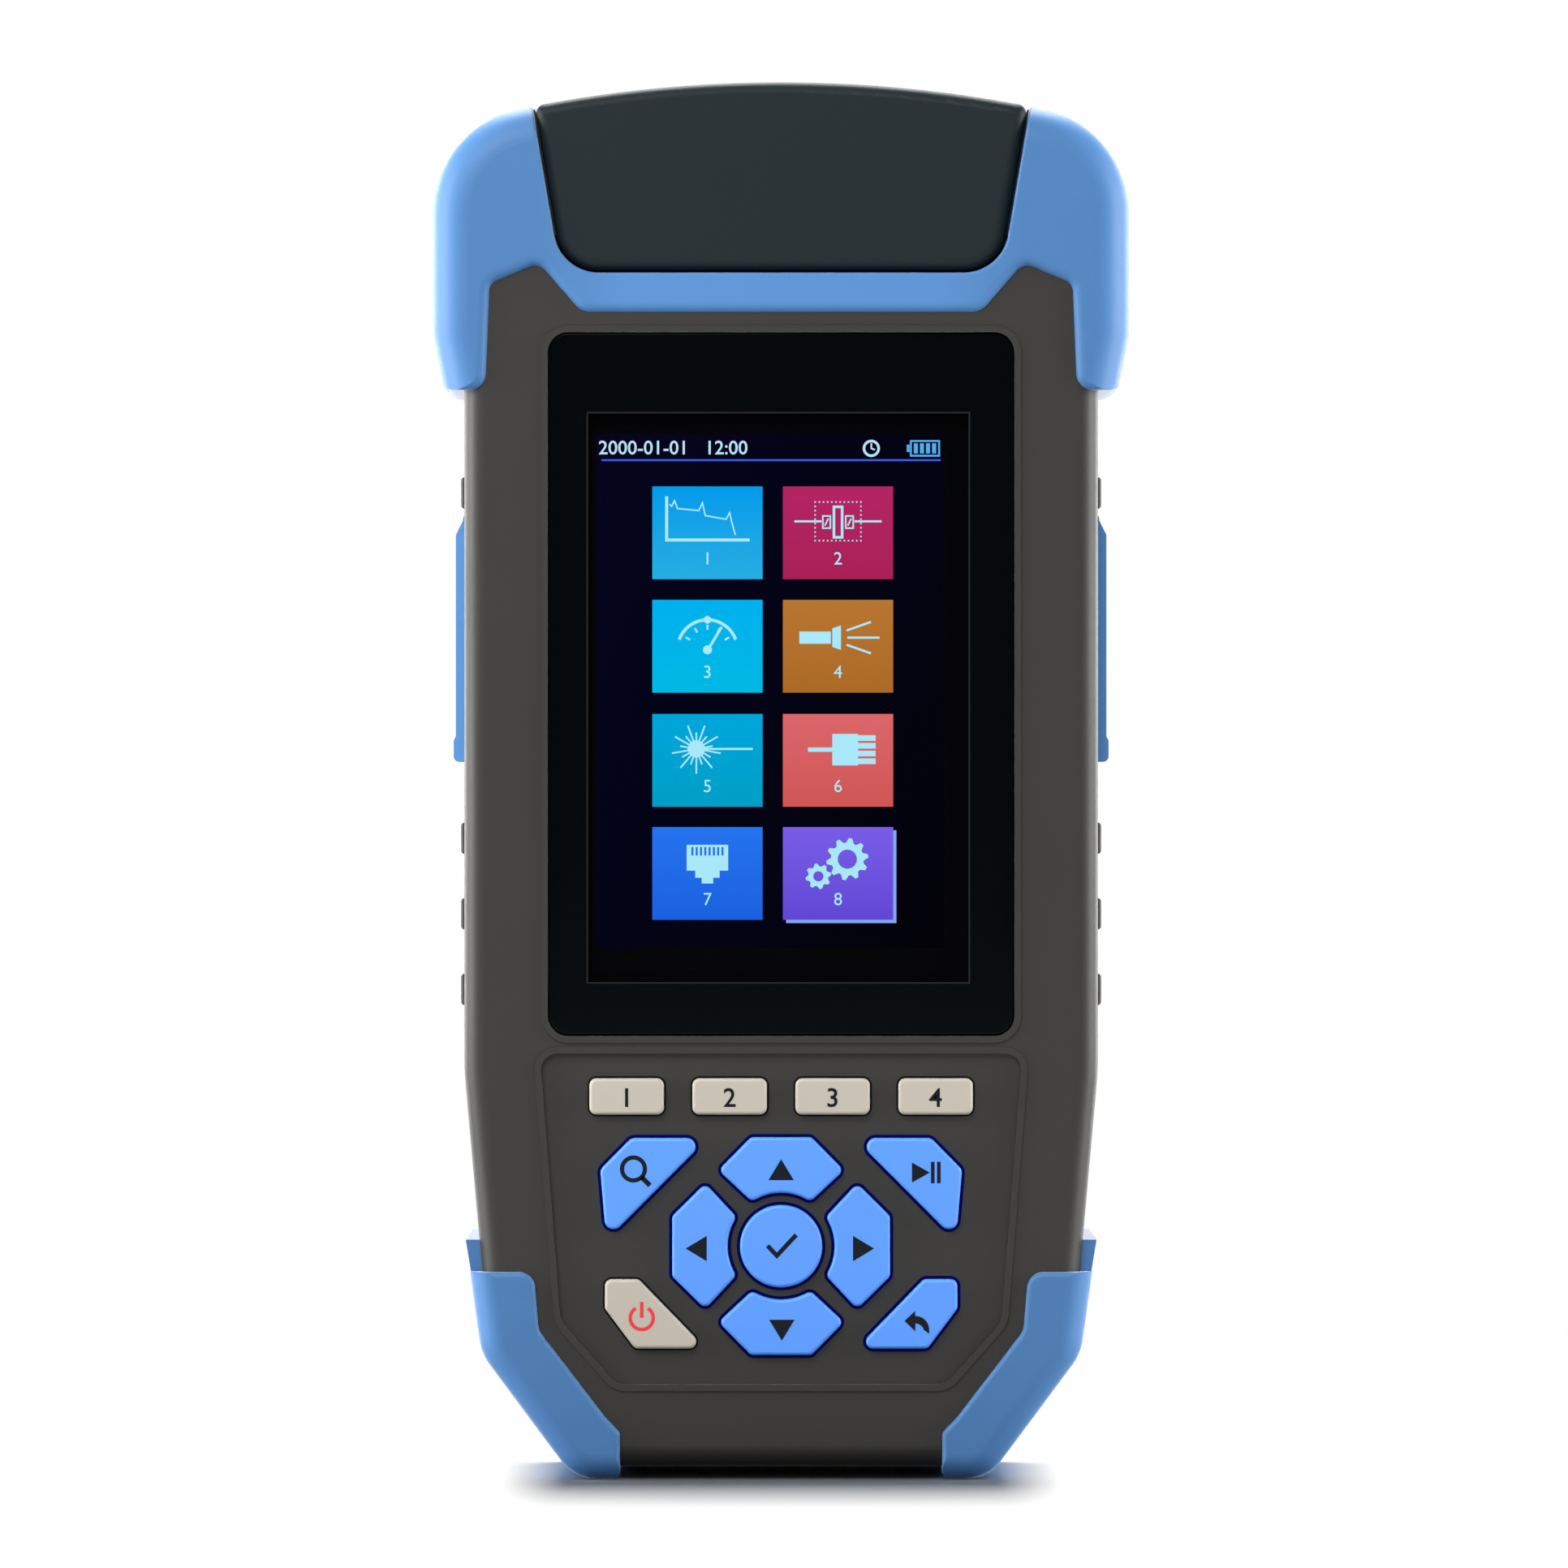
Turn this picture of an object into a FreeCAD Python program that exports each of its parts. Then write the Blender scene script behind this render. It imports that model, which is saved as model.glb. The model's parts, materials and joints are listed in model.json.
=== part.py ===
"""Handheld optical time domain reflectometer, standing on its two lower corner bumpers.

Millimetres. +Z is up, the display faces -Y, X is the left-right symmetry direction.
The origin is at the middle of the footprint, on the surface that the object stands on.
Each function below makes one piece, or one group of like pieces, as it is moulded or cut.
"""
import FreeCAD, Part
import math
import os

os.makedirs("parts", exist_ok=True)
V = FreeCAD.Vector

# ---- case: two moulded shells that meet on a plane across the depth
case_depth = 44.0
case_half_width = 44.3
cover_crown = 195.1      # top of the object, at the middle of the top cover
case_floor = 1.75
floor_inset = 17.8
floor_half_width = case_half_width - floor_inset
floor_corner = 4.0
hip_inset = 3.2
hip_half_width = case_half_width - hip_inset
hip_height = 21.4
hip_corner = 6.0
straight_from = 57.0
waist_corner = 40.0      # the slight bend where the sides begin to run in
shoulder_drop = 6.1
shoulder_height = cover_crown - shoulder_drop
shoulder_corner = 9.0
case_edge = 3.0
side_wall = 2.4
front_wall = 2.6
back_wall = 2.4
deck_thickness = 2.4
parting = 8.0
seal_width = 0.8
fit_gap = 0.1            # a piece that drops into its recess
moving_gap = 0.3         # between a moving piece and what it passes
overlap = 0.2            # how far joined bodies of one piece run into each other

# ---- top cover over the connector bay
cover_height = 26.3
cover_bottom = cover_crown - cover_height
cover_inset = 13.8
cover_bottom_half_width = case_half_width - cover_inset
cover_slant = 0.172      # half-width gained for each millimetre of height
crown_radius = 181.0
cover_corner = 6.0
cover_upper_corner = 1.4
cover_edge = 1.6
cover_wall = 2.2
cover_sunk = 0.5         # its front lies behind the bumper's front by this
cover_gap = 0.35
cover_flange = 9.0       # depth of the side flanges
cover_flange_drop = 4.5  # lower edge of the flanges below the hinge
hinge_drop = 8.3         # pin below the crown
hinge_inset = 6.7        # pin in front of the bumper's back
hinge_reach = 7.0        # cleared in front of the pin for the cover's swing
pin_radius = 1.25
pin_seat = 3.0           # length of the pin that each shoulder holds
pin_clearance = 0.05
barrel_radius = 3.0
barrel_drop = 1.2        # from the barrel down to the bay's back wall

# ---- rubber bumpers
rubber_proud = 1.0       # above the case's front and back faces
rubber_thickness = 2.2   # over those faces, so part of it lies in a recess
bumper_swell = 4.4
bumper_half_width = case_half_width + bumper_swell
bumper_edge = 1.5        # edges beside the case
bay_edge = 0.4           # edges beside the top cover
bumper_round = 5.0       # edges all round the outside
bumper_shoulder = 15.0   # corner radius seen from the front
bumper_peak = 3.8        # where the shoulders' slopes would meet above the crown
band_height = 5.9
band_bottom = cover_bottom - band_height
band_inset = 2.6
band_half_width = cover_bottom_half_width - band_inset
band_corner = 3.0
notch_rise = 6.8
notch_height = band_bottom + notch_rise
notch_run = 5.9
notch_half_width = band_half_width + notch_run
notch_corner = 2.0
leg_width = 7.5
leg_inner = bumper_half_width - leg_width
leg_lean = 0.6           # the leg's inner edge leans in by this at its top
leg_top_drop = 2.8
leg_top = notch_height - leg_top_drop
leg_top_corner = 1.6
leg_reach = 16.7
leg_bottom = cover_bottom - leg_reach
leg_corner = 2.3
leg_toe = 1.6            # the leg narrows by this towards its lower end
leg_toe_height = 8.0
foot_overlap = 4.0
foot_inner = floor_half_width - foot_overlap
foot_inner_height = 6.6
foot_inner_corner = 1.0
foot_spread = 2.4
foot_outer = floor_half_width + foot_spread
foot_outer_corner = 6.0
foot_swell = 0.8
foot_bend = hip_half_width + foot_swell
foot_bend_height = 17.5
foot_bend_corner = 8.0
foot_inset = 0.2
foot_half_width = case_half_width - foot_inset
foot_top = 29.0
foot_strap = 9.6         # width of the foot's upper end
foot_strap_corner = 2.3
foot_knee = 10.3
foot_knee_height = 20.8
foot_knee_corner = 3.0
foot_instep = 2.1
foot_instep_height = 8.8
foot_edge = 0.75
foot_round = 3.5
foot_wrap_top = 33.4
foot_wrap_bottom = 20.0
foot_wrap_inset = 3.7    # the side strap is narrower than the foot by this
foot_wrap_depth = 6.1

# ---- display
lens_inset = 11.8
lens_half_width = case_half_width - lens_inset
lens_bottom = 62.0
lens_drop = 8.7
lens_top = cover_bottom - lens_drop
lens_corner = 2.8
lens_edge = 0.3
lens_thickness = 1.4
lens_sunk = 0.1
gasket_thickness = 0.3
border_side = 5.2
window_half_width = lens_half_width - border_side
border_bottom = 6.8
window_bottom = lens_bottom + border_bottom
border_top = 10.7
window_top = lens_top - border_top
window_corner = 1.0
lip_width = 0.9
lip_height = 0.3
lcd_left_margin = 2.7
lcd_left = -window_half_width - lcd_left_margin
lcd_right_margin = 0.3
lcd_right = window_half_width - lcd_right_margin
lcd_lower_margin = 2.8
lcd_bottom = window_bottom - lcd_lower_margin
lcd_upper_margin = 3.6
lcd_top = window_top + lcd_upper_margin
lcd_corner = 1.0
lcd_thickness = 3.8
lcd_glass_inset = 3.5
lcd_glass_height = 0.6

# ---- keypad
keypad_drop = 2.5
keypad_top = lens_bottom - keypad_drop
keypad_top_inset = 10.6
keypad_top_half_width = case_half_width - keypad_top_inset
keypad_top_corner = 2.3
keypad_bottom = 13.3
keypad_bottom_inset = 3.5
keypad_bottom_half_width = floor_half_width - keypad_bottom_inset
keypad_bottom_corner = 3.0
keypad_knee_height = 22.1
keypad_knee_inset = 10.3
keypad_knee_half_width = hip_half_width - keypad_knee_inset
keypad_knee_corner = 4.0
keypad_depth = 0.5
key_proud = 0.8          # above the case's front face
key_travel = 0.8
key_gap = 0.2
key_flange = 0.55
key_flange_thickness = 1.1
key_edge = 0.5
f_key_width = 10.4
f_key_height = 5.07
f_key_corner = 1.0
f_key_pitch = 14.37
f_key_level = 53.5
ok_radius = 5.75
ok_level = 32.6
ring_inner = 7.45        # the arrow keys' hollow side
ring_outer = 15.2        # their outer edge
arrow_tip = 4.2          # half-width of that outer edge
arrow_side = 8.75        # half-width at the widest place
arrow_side_level = 10.6
arrow_root = 3.4
arrow_root_level = 5.6
arrow_corner = 0.9
upper_key_top = 15.1     # the corner keys are measured from the OK key's middle
upper_key_start = 10.2
upper_key_bend = 20.9
upper_key_side = 25.25
upper_key_side_top = 10.7
upper_key_point = 24.4
upper_key_point_level = 0.85
upper_key_corner = 1.25
lower_key_top = 4.6
lower_key_bottom = 14.3
lower_key_bend = 19.9
lower_key_start = 10.5
lower_key_side = 24.6
lower_key_cut = 20.4
lower_key_side_bottom = 8.7
lower_key_corner = 1.0
mat_thickness = 1.3
mat_gap = 0.4
dome_radius = 2.0
board_thickness = 1.6
keypad_rib = 1.2

# ---- side port covers and the sockets behind them
pocket_drop = 16.5
pocket_top = leg_bottom - pocket_drop
pocket_height = 35.7
pocket_bottom = pocket_top - pocket_height
pocket_front = -11.9
pocket_back = 4.9
pocket_sunk = 1.1
pocket_floor = case_half_width - pocket_sunk
port_cover_proud = 1.4
port_cover_face = case_half_width + port_cover_proud
port_cover_bead = 1.1
port_cover_axis_sunk = 0.7
port_cover_axis = case_half_width - port_cover_axis_sunk
port_cover_edge = 0.9
port_pad = 1.6           # thickening of the wall behind the bead's groove
port_pad_half_height = 3.0
pull_tab_height = 3.0
pull_tab_proud = 0.3
pull_tab_edge = 0.8
rib_height = 4.4
rib_proud = 0.6
rib_root = 2.0
rib_half_length = 15.0
rib_pitch = 10.6
rib_count = 3            # below the port cover
rib_first = 10.4         # from the pocket down to the first of them
rib_above = 2.3          # from the pocket up to the single one
socket_sunk = 0.2        # socket faces behind the pocket's floor
rj45_height = 15.9
rj45_width = 13.4
rj45_length = 18.0
rj45_rise = 10.4
rj45_level = pocket_bottom + rj45_rise
plug_height = 11.9
plug_width = 8.2
plug_depth = 13.0
latch_width = 6.0
latch_depth = 1.6
usb_a_height = 13.2
usb_a_width = 5.9
usb_a_length = 14.0
usb_c_height = 9.4
usb_c_width = 3.6
usb_c_length = 8.0
usb_level_rise = 26.1
usb_level = pocket_bottom + usb_level_rise
usb_rise = 0.6           # the small sockets stand this far off the board
usb_wall = 0.4
usb_tongue = 1.8
usb_tongue_length = 11.0
usb_c_tongue = 0.7
usb_c_tongue_length = 6.6
usb_floor = 2.0          # closed inner end of the USB-A socket
usb_lead = 1.5           # the tongue and the foot stop short of the face

# ---- boards, optics and battery
main_board_level = -12.0  # front face of the main board
main_board_inset = 10.3
main_board_half_width = case_half_width - main_board_inset
main_board_bottom = 62.0
main_board_rise = 1.9
main_board_top = lens_top + main_board_rise
main_board_corner = 1.5
chip_width = 18.0
chip_height = 1.4
chip_rise = 19.0
chip_level = main_board_bottom + chip_rise
memory_width = 10.0
memory_side = 19.0
post_radius = 1.9
post_inset = 2.0
post_side = main_board_half_width - post_inset
post_rise = 6.0
post_foot = main_board_bottom + post_rise
post_drop = 4.0
post_head = main_board_top - post_drop
board_screw_radius = 0.8
board_screw_head = 1.6
board_screw_head_height = 1.2
board_screw_length = 5.0
module_inset = 20.3
module_half_width = case_half_width - module_inset
module_drop = 2.0
module_top = main_board_top - module_drop
module_height = 48.0
module_bottom = module_top - module_height
module_depth = 17.0
module_corner = 1.5
module_lid = 0.6
module_lid_inset = 2.0
port_inset = 12.5
port_spacing = cover_bottom_half_width - port_inset
port_row = -2.0
port_radius = 4.0
port_wall = 1.0
port_height = 9.0
power_port_radius = 5.5
stub_radius = 3.0
port_flange = 6.4
port_flange_thickness = 1.6
ferrule_radius = 1.26
sleeve_wall = 0.6
sleeve_length = 8.0
sleeve_seat = 1.0
plate_thickness = 1.2
plate_margin = 7.0
plate_half_width = port_spacing + plate_margin
plate_front = -12.0
plate_back = 9.0
plate_corner = 2.0
door_half_width = 31.0
door_bottom = 20.0
door_drop = 1.9
door_top = pocket_bottom - door_drop
cell_radius = 9.2
cell_bottom = 29.0
cell_margin = 3.0
cell_length = door_top - cell_bottom - cell_margin
cell_count = 3
cell_pitch = 18.6
tray_gap = 1.0
tray_wall = 1.5
door_thickness = 2.0
door_corner = 3.0
door_edge = 0.4
grip_count = 4
grip_half_length = 9.0
grip_width = 1.0
grip_depth = 0.5
grip_pitch = 2.4
grip_drop = 7.0          # from the door's top edge down to the first groove
buzzer_radius = 8.0
buzzer_thickness = 5.0
buzzer_rise = 32.0
buzzer_level = door_top + buzzer_rise
slot_width = 1.4
slot_length = 12.0
slot_pitch = 3.2
slot_count = 5

# ---- screws
screw_clearance = 0.02
case_post_radius = 3.0
case_post_sleeve = 0.6   # the rear posts are this much thicker
upper_post_inset = 5.9
upper_post_side = case_half_width - upper_post_inset
upper_post_drop = 2.1
upper_post_level = leg_bottom - upper_post_drop
lower_post_inset = 7.3
lower_post_side = case_half_width - lower_post_inset
lower_post_level = 40.0
case_screw_radius = 1.25
case_screw_head = 2.4
case_screw_length = 22.0
case_head_height = 1.9
head_sunk = 0.2
door_screw_inset = 9.0
door_screw_side = door_half_width - door_screw_inset
door_screw_rise = 4.0
door_screw_level = door_bottom + door_screw_rise
door_screw_radius = 1.0
door_screw_head = 2.0
door_head_height = 1.3
door_screw_length = 6.0

# ---- planes worked out from the sizes above
front = -case_depth / 2
back = case_depth / 2
inner_front = front + front_wall
inner_back = back - back_wall
bumper_front = front - rubber_proud
bumper_back = back + rubber_proud
core_front = bumper_front + rubber_thickness
core_back = bumper_back - rubber_thickness
deck = cover_bottom - cover_gap
ceiling = deck - deck_thickness
cover_front = bumper_front + cover_sunk
hinge_level = cover_crown - hinge_drop
hinge_row = bumper_back - hinge_inset
bay_lip = 0.7
bay_back = hinge_row + bay_lip
bay_wall_top = hinge_level - barrel_radius - barrel_drop
keypad_floor = front + keypad_depth
key_front = front - key_proud
key_flange_front = inner_front + moving_gap
key_back = key_flange_front + key_flange_thickness
dome_top = key_back + key_travel + moving_gap
mat_front = dome_top + mat_gap
mat_back = mat_front + mat_thickness
lens_front = front + lens_sunk
lens_back = lens_front + lens_thickness
lens_seat = lens_back + gasket_thickness
main_board_back = main_board_level + board_thickness
far = 300.0              # longer than the object, for cutting tools


# ---------------------------------------------------------------- drawing helpers
def outline(points):
    """Closed wire in the XZ plane through (x, z, corner radius) points."""
    count = len(points)
    arrive, leave, bend = [], [], []
    for index, (x, z, radius) in enumerate(points):
        corner = V(x, 0, z)
        last = points[index - 1]
        following = points[(index + 1) % count]
        before = (V(last[0], 0, last[1]) - corner).normalize()
        after = (V(following[0], 0, following[1]) - corner).normalize()
        half_angle = before.getAngle(after) / 2
        trim = radius / math.tan(half_angle)
        arrive.append(corner + before * trim)
        leave.append(corner + after * trim)
        middle = (before + after).normalize()
        bend.append(corner + middle * (radius / math.sin(half_angle) - radius))
    edges = []
    for index in range(count):
        if points[index][2] > 0:
            edges.append(Part.Arc(arrive[index], bend[index], leave[index]).toShape())
        edges.append(Part.LineSegment(leave[index], arrive[(index + 1) % count]).toShape())
    return Part.Wire(edges)


def face_of(points):
    return Part.Face(outline(points))


def both_sides(half):
    """The points of the right half, then their mirror images back down the left."""
    return list(half) + [(-x, z, radius) for x, z, radius in reversed(half)]


def rectangle(left, right, bottom, top, corner):
    corners = [(left, bottom), (right, bottom), (right, top), (left, top)]
    return face_of([(x, z, corner) for x, z in corners])


def disc(radius, x, z):
    return Part.Face(Part.Wire(Part.makeCircle(radius, V(x, 0, z), V(0, 1, 0))))


def grown(face, distance):
    return face.makeOffset2D(distance)


def prism(face, y_from, y_to):
    """The flat face pushed from one depth to another."""
    base = face.copy()
    base.translate(V(0, y_from, 0))
    return base.extrude(V(0, y_to - y_from, 0))


def block(x_from, x_to, y_from, y_to, z_from, z_to):
    corner = V(x_from, y_from, z_from)
    return Part.makeBox(x_to - x_from, y_to - y_from, z_to - z_from, corner)


def rod(radius, start, direction, length):
    return Part.makeCylinder(radius, length, start, direction)


def rim(solid, y):
    """Edges that lie in the plane at this depth."""
    return [edge for edge in solid.Edges if all(abs(v.Y - y) < 1e-6 for v in edge.Vertexes)]


def mirrored(shape):
    return shape.mirror(V(0, 0, 0), V(1, 0, 0))


def joined(shape, others):
    return shape.fuse(others).removeSplitter()


# ---------------------------------------------------------------- shared outlines
def case_face():
    return face_of(both_sides([
        (floor_half_width, case_floor, floor_corner),
        (hip_half_width, hip_height, hip_corner),
        (case_half_width, straight_from, waist_corner),
        (case_half_width, shoulder_height, shoulder_corner),
    ]))


def cover_face(height):
    """The cover's front outline, with its sides carried on up to a height above the crown."""
    top_half_width = cover_bottom_half_width + cover_slant * (height - cover_bottom)
    return face_of(both_sides([
        (cover_bottom_half_width, cover_bottom, cover_corner),
        (top_half_width, height, 0),
    ]))


def keypad_face():
    return face_of(both_sides([
        (keypad_bottom_half_width, keypad_bottom, keypad_bottom_corner),
        (keypad_knee_half_width, keypad_knee_height, keypad_knee_corner),
        (keypad_top_half_width, keypad_top, keypad_top_corner),
    ]))


def lens_face():
    return rectangle(-lens_half_width, lens_half_width, lens_bottom, lens_top, lens_corner)


def window_face():
    return rectangle(-window_half_width, window_half_width, window_bottom, window_top, window_corner)


def cavity_face():
    below_deck = rectangle(-far, far, -far, ceiling, 0)
    return grown(case_face(), -side_wall).common(below_deck).Faces[0]


def door_face():
    return rectangle(-door_half_width, door_half_width, door_bottom, door_top, door_corner)


def cell_span():
    """Half-width of the battery's row of cells."""
    return (cell_count - 1) * cell_pitch / 2 + cell_radius


def cell_row():
    return [(index - (cell_count - 1) / 2) * cell_pitch for index in range(cell_count)]


# ---------------------------------------------------------------- keys
def arrow_face(turn):
    """One key of the ring round the OK key, pointing up before it is turned."""
    wedge = face_of(both_sides([
        (arrow_root, arrow_root_level, 0),
        (arrow_side, arrow_side_level, arrow_corner),
        (arrow_tip, ring_outer, arrow_corner),
    ]))
    key = wedge.cut(disc(ring_inner, 0, 0)).Faces[0]
    key = grown(grown(key, -arrow_corner), arrow_corner)
    key.rotate(V(0, 0, 0), V(0, 1, 0), turn)
    key.translate(V(0, 0, ok_level))
    return key


def f_key_face(index):
    middle = (index - 2.5) * f_key_pitch
    half_width = f_key_width / 2
    half_height = f_key_height / 2
    return rectangle(middle - half_width, middle + half_width,
                     f_key_level - half_height, f_key_level + half_height, f_key_corner)


def upper_corner_face(side):
    points = [(upper_key_bend, upper_key_top), (upper_key_start, upper_key_top),
              (upper_key_point, upper_key_point_level), (upper_key_side, upper_key_side_top)]
    return face_of([(side * x, ok_level + z, upper_key_corner) for x, z in points])


def lower_corner_face(side):
    points = [(lower_key_side, lower_key_top), (lower_key_bend, lower_key_top),
              (lower_key_start, lower_key_bottom), (lower_key_cut, lower_key_bottom),
              (lower_key_side, lower_key_side_bottom)]
    return face_of([(side * x, ok_level - z, lower_key_corner) for x, z in points])


def key_faces():
    faces = {"key_ok": disc(ok_radius, 0, ok_level)}
    for index in (1, 2, 3, 4):
        faces["key_f%d" % index] = f_key_face(index)
    for name, turn in (("key_up", 0), ("key_right", 90), ("key_down", 180), ("key_left", 270)):
        faces[name] = arrow_face(turn)
    faces["key_zoom"] = upper_corner_face(-1)
    faces["key_run"] = upper_corner_face(1)
    faces["key_power"] = lower_corner_face(-1)
    faces["key_back"] = lower_corner_face(1)
    return faces


def key(face):
    cap = prism(face, key_front, key_back)
    cap = cap.makeFillet(key_edge, rim(cap, key_front))
    flange = prism(grown(face, key_flange), key_flange_front, key_back)
    return joined(cap, [flange])


# ---------------------------------------------------------------- rubber bumpers
def soft_prism(face, radius):
    """The full depth of the bumpers, with a broad rounding along its front and back edges."""
    solid = prism(face, bumper_front, bumper_back)
    return solid.makeFillet(radius, rim(solid, bumper_front) + rim(solid, bumper_back))


def case_core():
    """The case as the rubber is moulded over it: sunk where the rubber covers it."""
    return prism(case_face(), core_front, core_back)


def bay_rear_half():
    """Half-width of the opening behind, which the cover's hood turns in."""
    return cover_bottom_half_width + cover_slant * (cover_crown - cover_bottom) + cover_gap


def bay_space():
    """The connector bay: open at the front and top, and behind above its back wall."""
    bay = prism(grown(cover_face(cover_crown + cover_corner), cover_gap), -far, bay_back)
    behind = block(-bay_rear_half(), bay_rear_half(), hinge_row - hinge_reach, far, bay_wall_top, far)
    return bay.fuse(behind)


def top_bumper_block():
    """The top bumper before the case and the bay are taken out of it."""
    outside = both_sides([
        (bumper_half_width - 2 * leg_toe, leg_bottom - leg_toe_height, 0),
        (bumper_half_width, leg_bottom + leg_toe_height, leg_toe_height),
        (bumper_half_width, shoulder_height, bumper_shoulder),
        (0.02 * bumper_half_width, cover_crown + bumper_peak, 0),
    ])
    beyond = bumper_half_width + bumper_round
    inside = both_sides([
        (band_half_width, band_bottom, band_corner),
        (notch_half_width, notch_height, notch_corner),
        (leg_inner - leg_lean, leg_top, leg_top_corner),
        (leg_inner, leg_bottom, leg_corner),
        (bumper_half_width - leg_toe, leg_bottom, leg_corner),
        (beyond, leg_bottom + 2 * leg_toe_height, 0),
        (beyond, cover_crown + 2 * bumper_peak, 0),
    ])
    return soft_prism(face_of(outside), bumper_round).common(soft_prism(face_of(inside), bumper_edge))


def top_bumper():
    bumper = top_bumper_block().cut([case_core(), bay_space()])
    beside_cover = [edge for edge in rim(bumper, bumper_front)
                    if abs(edge.CenterOfMass.x) < bay_rear_half() and edge.CenterOfMass.z > deck - overlap]
    return bumper.makeFillet(bay_edge, beside_cover)


def foot_block():
    """The lower right corner bumper before the case is taken out of it."""
    outside = face_of([
        (0, 0, 0), (foot_outer, 0, foot_outer_corner),
        (foot_bend, foot_bend_height, foot_bend_corner), (foot_half_width, foot_wrap_top, 0),
        (foot_half_width, 2 * foot_wrap_top, 0), (0, 2 * foot_wrap_top, 0),
    ])
    beyond = foot_half_width + foot_round
    inside = face_of([
        (foot_inner, 0, foot_inner_corner), (beyond, 0, 0), (beyond, foot_top, 0),
        (foot_half_width - foot_strap, foot_top, foot_strap_corner),
        (foot_half_width - foot_knee, foot_knee_height, foot_knee_corner),
        (foot_inner + foot_instep, foot_instep_height, foot_inner_corner),
        (foot_inner, foot_inner_height, foot_inner_corner),
    ])
    foot = soft_prism(outside, foot_round).common(soft_prism(inside, foot_edge))
    wrap = face_of([
        (foot_half_width - foot_wrap_depth, foot_wrap_bottom, 0), (foot_bend, foot_wrap_bottom, 0),
        (foot_half_width, foot_wrap_top, 0), (foot_half_width - foot_wrap_depth, foot_wrap_top, 0),
    ])
    strap = prism(wrap, bumper_front + foot_wrap_inset, bumper_back - foot_wrap_inset)
    return joined(foot, [strap])


def bottom_bumper():
    return foot_block().cut(case_core())


# ---------------------------------------------------------------- case shells
def case_block():
    solid = prism(case_face(), front, back)
    solid = solid.makeFillet(case_edge, rim(solid, front) + rim(solid, back))
    ribs = []
    for level in rib_levels():
        rib = block(case_half_width - rib_root, case_half_width + rib_proud,
                    -rib_half_length, rib_half_length,
                    level - rib_height / 2, level + rib_height / 2)
        outer = [edge for edge in rib.Edges
                 if all(v.X > case_half_width for v in edge.Vertexes)]
        rib = rib.makeFillet(rib_proud * 0.9, outer)
        ribs += [rib, mirrored(rib)]
    return joined(solid, ribs)


def rib_levels():
    below = [pocket_bottom - rib_first - index * rib_pitch for index in range(rib_count)]
    return below + [pocket_top + rib_above]


def outside_tools():
    """What both shells lose to the bumpers and the bay."""
    foot = foot_block().cut(case_core())
    return [top_bumper_block().cut(case_core()), foot, mirrored(foot), bay_space()]


def seal_ring(growth):
    """Ring in the wall at the parting plane, grown a little for its groove."""
    middle = (side_wall - seal_width) / 2
    outer = grown(cavity_face(), middle + seal_width + growth)
    inner = grown(cavity_face(), middle - growth)
    height = seal_width + growth
    return prism(outer, parting - height, parting + height).cut(
        prism(inner, parting - far, parting + far))


def port_pocket():
    """Sunk place for the right port cover, with the round groove its upper bead turns in."""
    recess = block(pocket_floor, far, pocket_front, pocket_back, pocket_bottom, pocket_top)
    groove = rod(port_cover_bead + moving_gap,
                 V(port_cover_axis, pocket_front, port_cover_level()), V(0, 1, 0),
                 pocket_back - pocket_front)
    return recess.fuse(groove)


def port_cover_level():
    """Height of the axis that a port cover swings about."""
    return pocket_top - moving_gap - port_cover_bead


def rj45_hole():
    return block(pocket_floor - 2 * side_wall, far,
                 main_board_back - fit_gap, main_board_back + rj45_width + fit_gap,
                 rj45_level - rj45_height / 2 - fit_gap, rj45_level + rj45_height / 2 + fit_gap)


def usb_hole(width, height):
    return block(pocket_floor - 2 * side_wall, far,
                 usb_row() - width / 2 - fit_gap, usb_row() + width / 2 + fit_gap,
                 usb_level - height / 2 - fit_gap, usb_level + height / 2 + fit_gap)


def usb_row():
    """Depth of the middle of both small sockets, which stand on the main board."""
    return main_board_back + usb_a_width / 2 + usb_rise


def front_post(radius, x, z, y_to):
    return rod(radius, V(x, inner_front - overlap, z), V(0, 1, 0), y_to - inner_front + overlap)


def front_shell():
    shell = case_block().common(block(-far, far, -far, parting, -far, far))
    cavity = prism(cavity_face(), inner_front, far)
    keypad_recess = prism(keypad_face(), -far, keypad_floor)
    lens_recess = prism(grown(lens_face(), fit_gap), -far, lens_seat)
    window = prism(window_face(), -far, far)
    shell = shell.cut(outside_tools() + [cavity])
    lens_lip = prism(grown(lens_face(), fit_gap + lip_width), front - lip_height, front + overlap)
    bead = prism(grown(keypad_face(), lip_width), front - lip_height, front + overlap)
    wall_inside = case_half_width - side_wall
    pad = block(wall_inside - port_pad, wall_inside + overlap, pocket_front, pocket_back,
                port_cover_level() - port_pad_half_height, port_cover_level() + port_pad_half_height)
    rib = prism(grown(keypad_face(), keypad_rib), inner_front - overlap, mat_front)
    rib = rib.cut(prism(grown(keypad_face(), 0), -far, far))
    posts = []
    for side in (-1, 1):
        for z in (post_foot, post_head):
            posts.append(front_post(post_radius, side * post_side, z, main_board_level))
        for x, z in case_posts():
            posts.append(front_post(case_post_radius, side * x, z, parting))
    shell = joined(shell, [lens_lip, bead, pad, mirrored(pad), rib] + posts)
    tools = [keypad_recess, lens_recess, window, seal_ring(screw_clearance), bay_floor_block(),
             port_pocket(), mirrored(port_pocket())]
    for face in key_faces().values():
        tools.append(prism(grown(face, key_gap), -far, inner_front + overlap))
    tools += [rj45_hole(), mirrored(rj45_hole()), usb_hole(usb_a_width, usb_a_height),
              mirrored(usb_hole(usb_c_width, usb_c_height))]
    tools += [screw_bore(place) for place in board_screw_places() + case_screw_places()]
    tools.append(cover_pin(screw_clearance))
    return shell.cut(tools)


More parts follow.
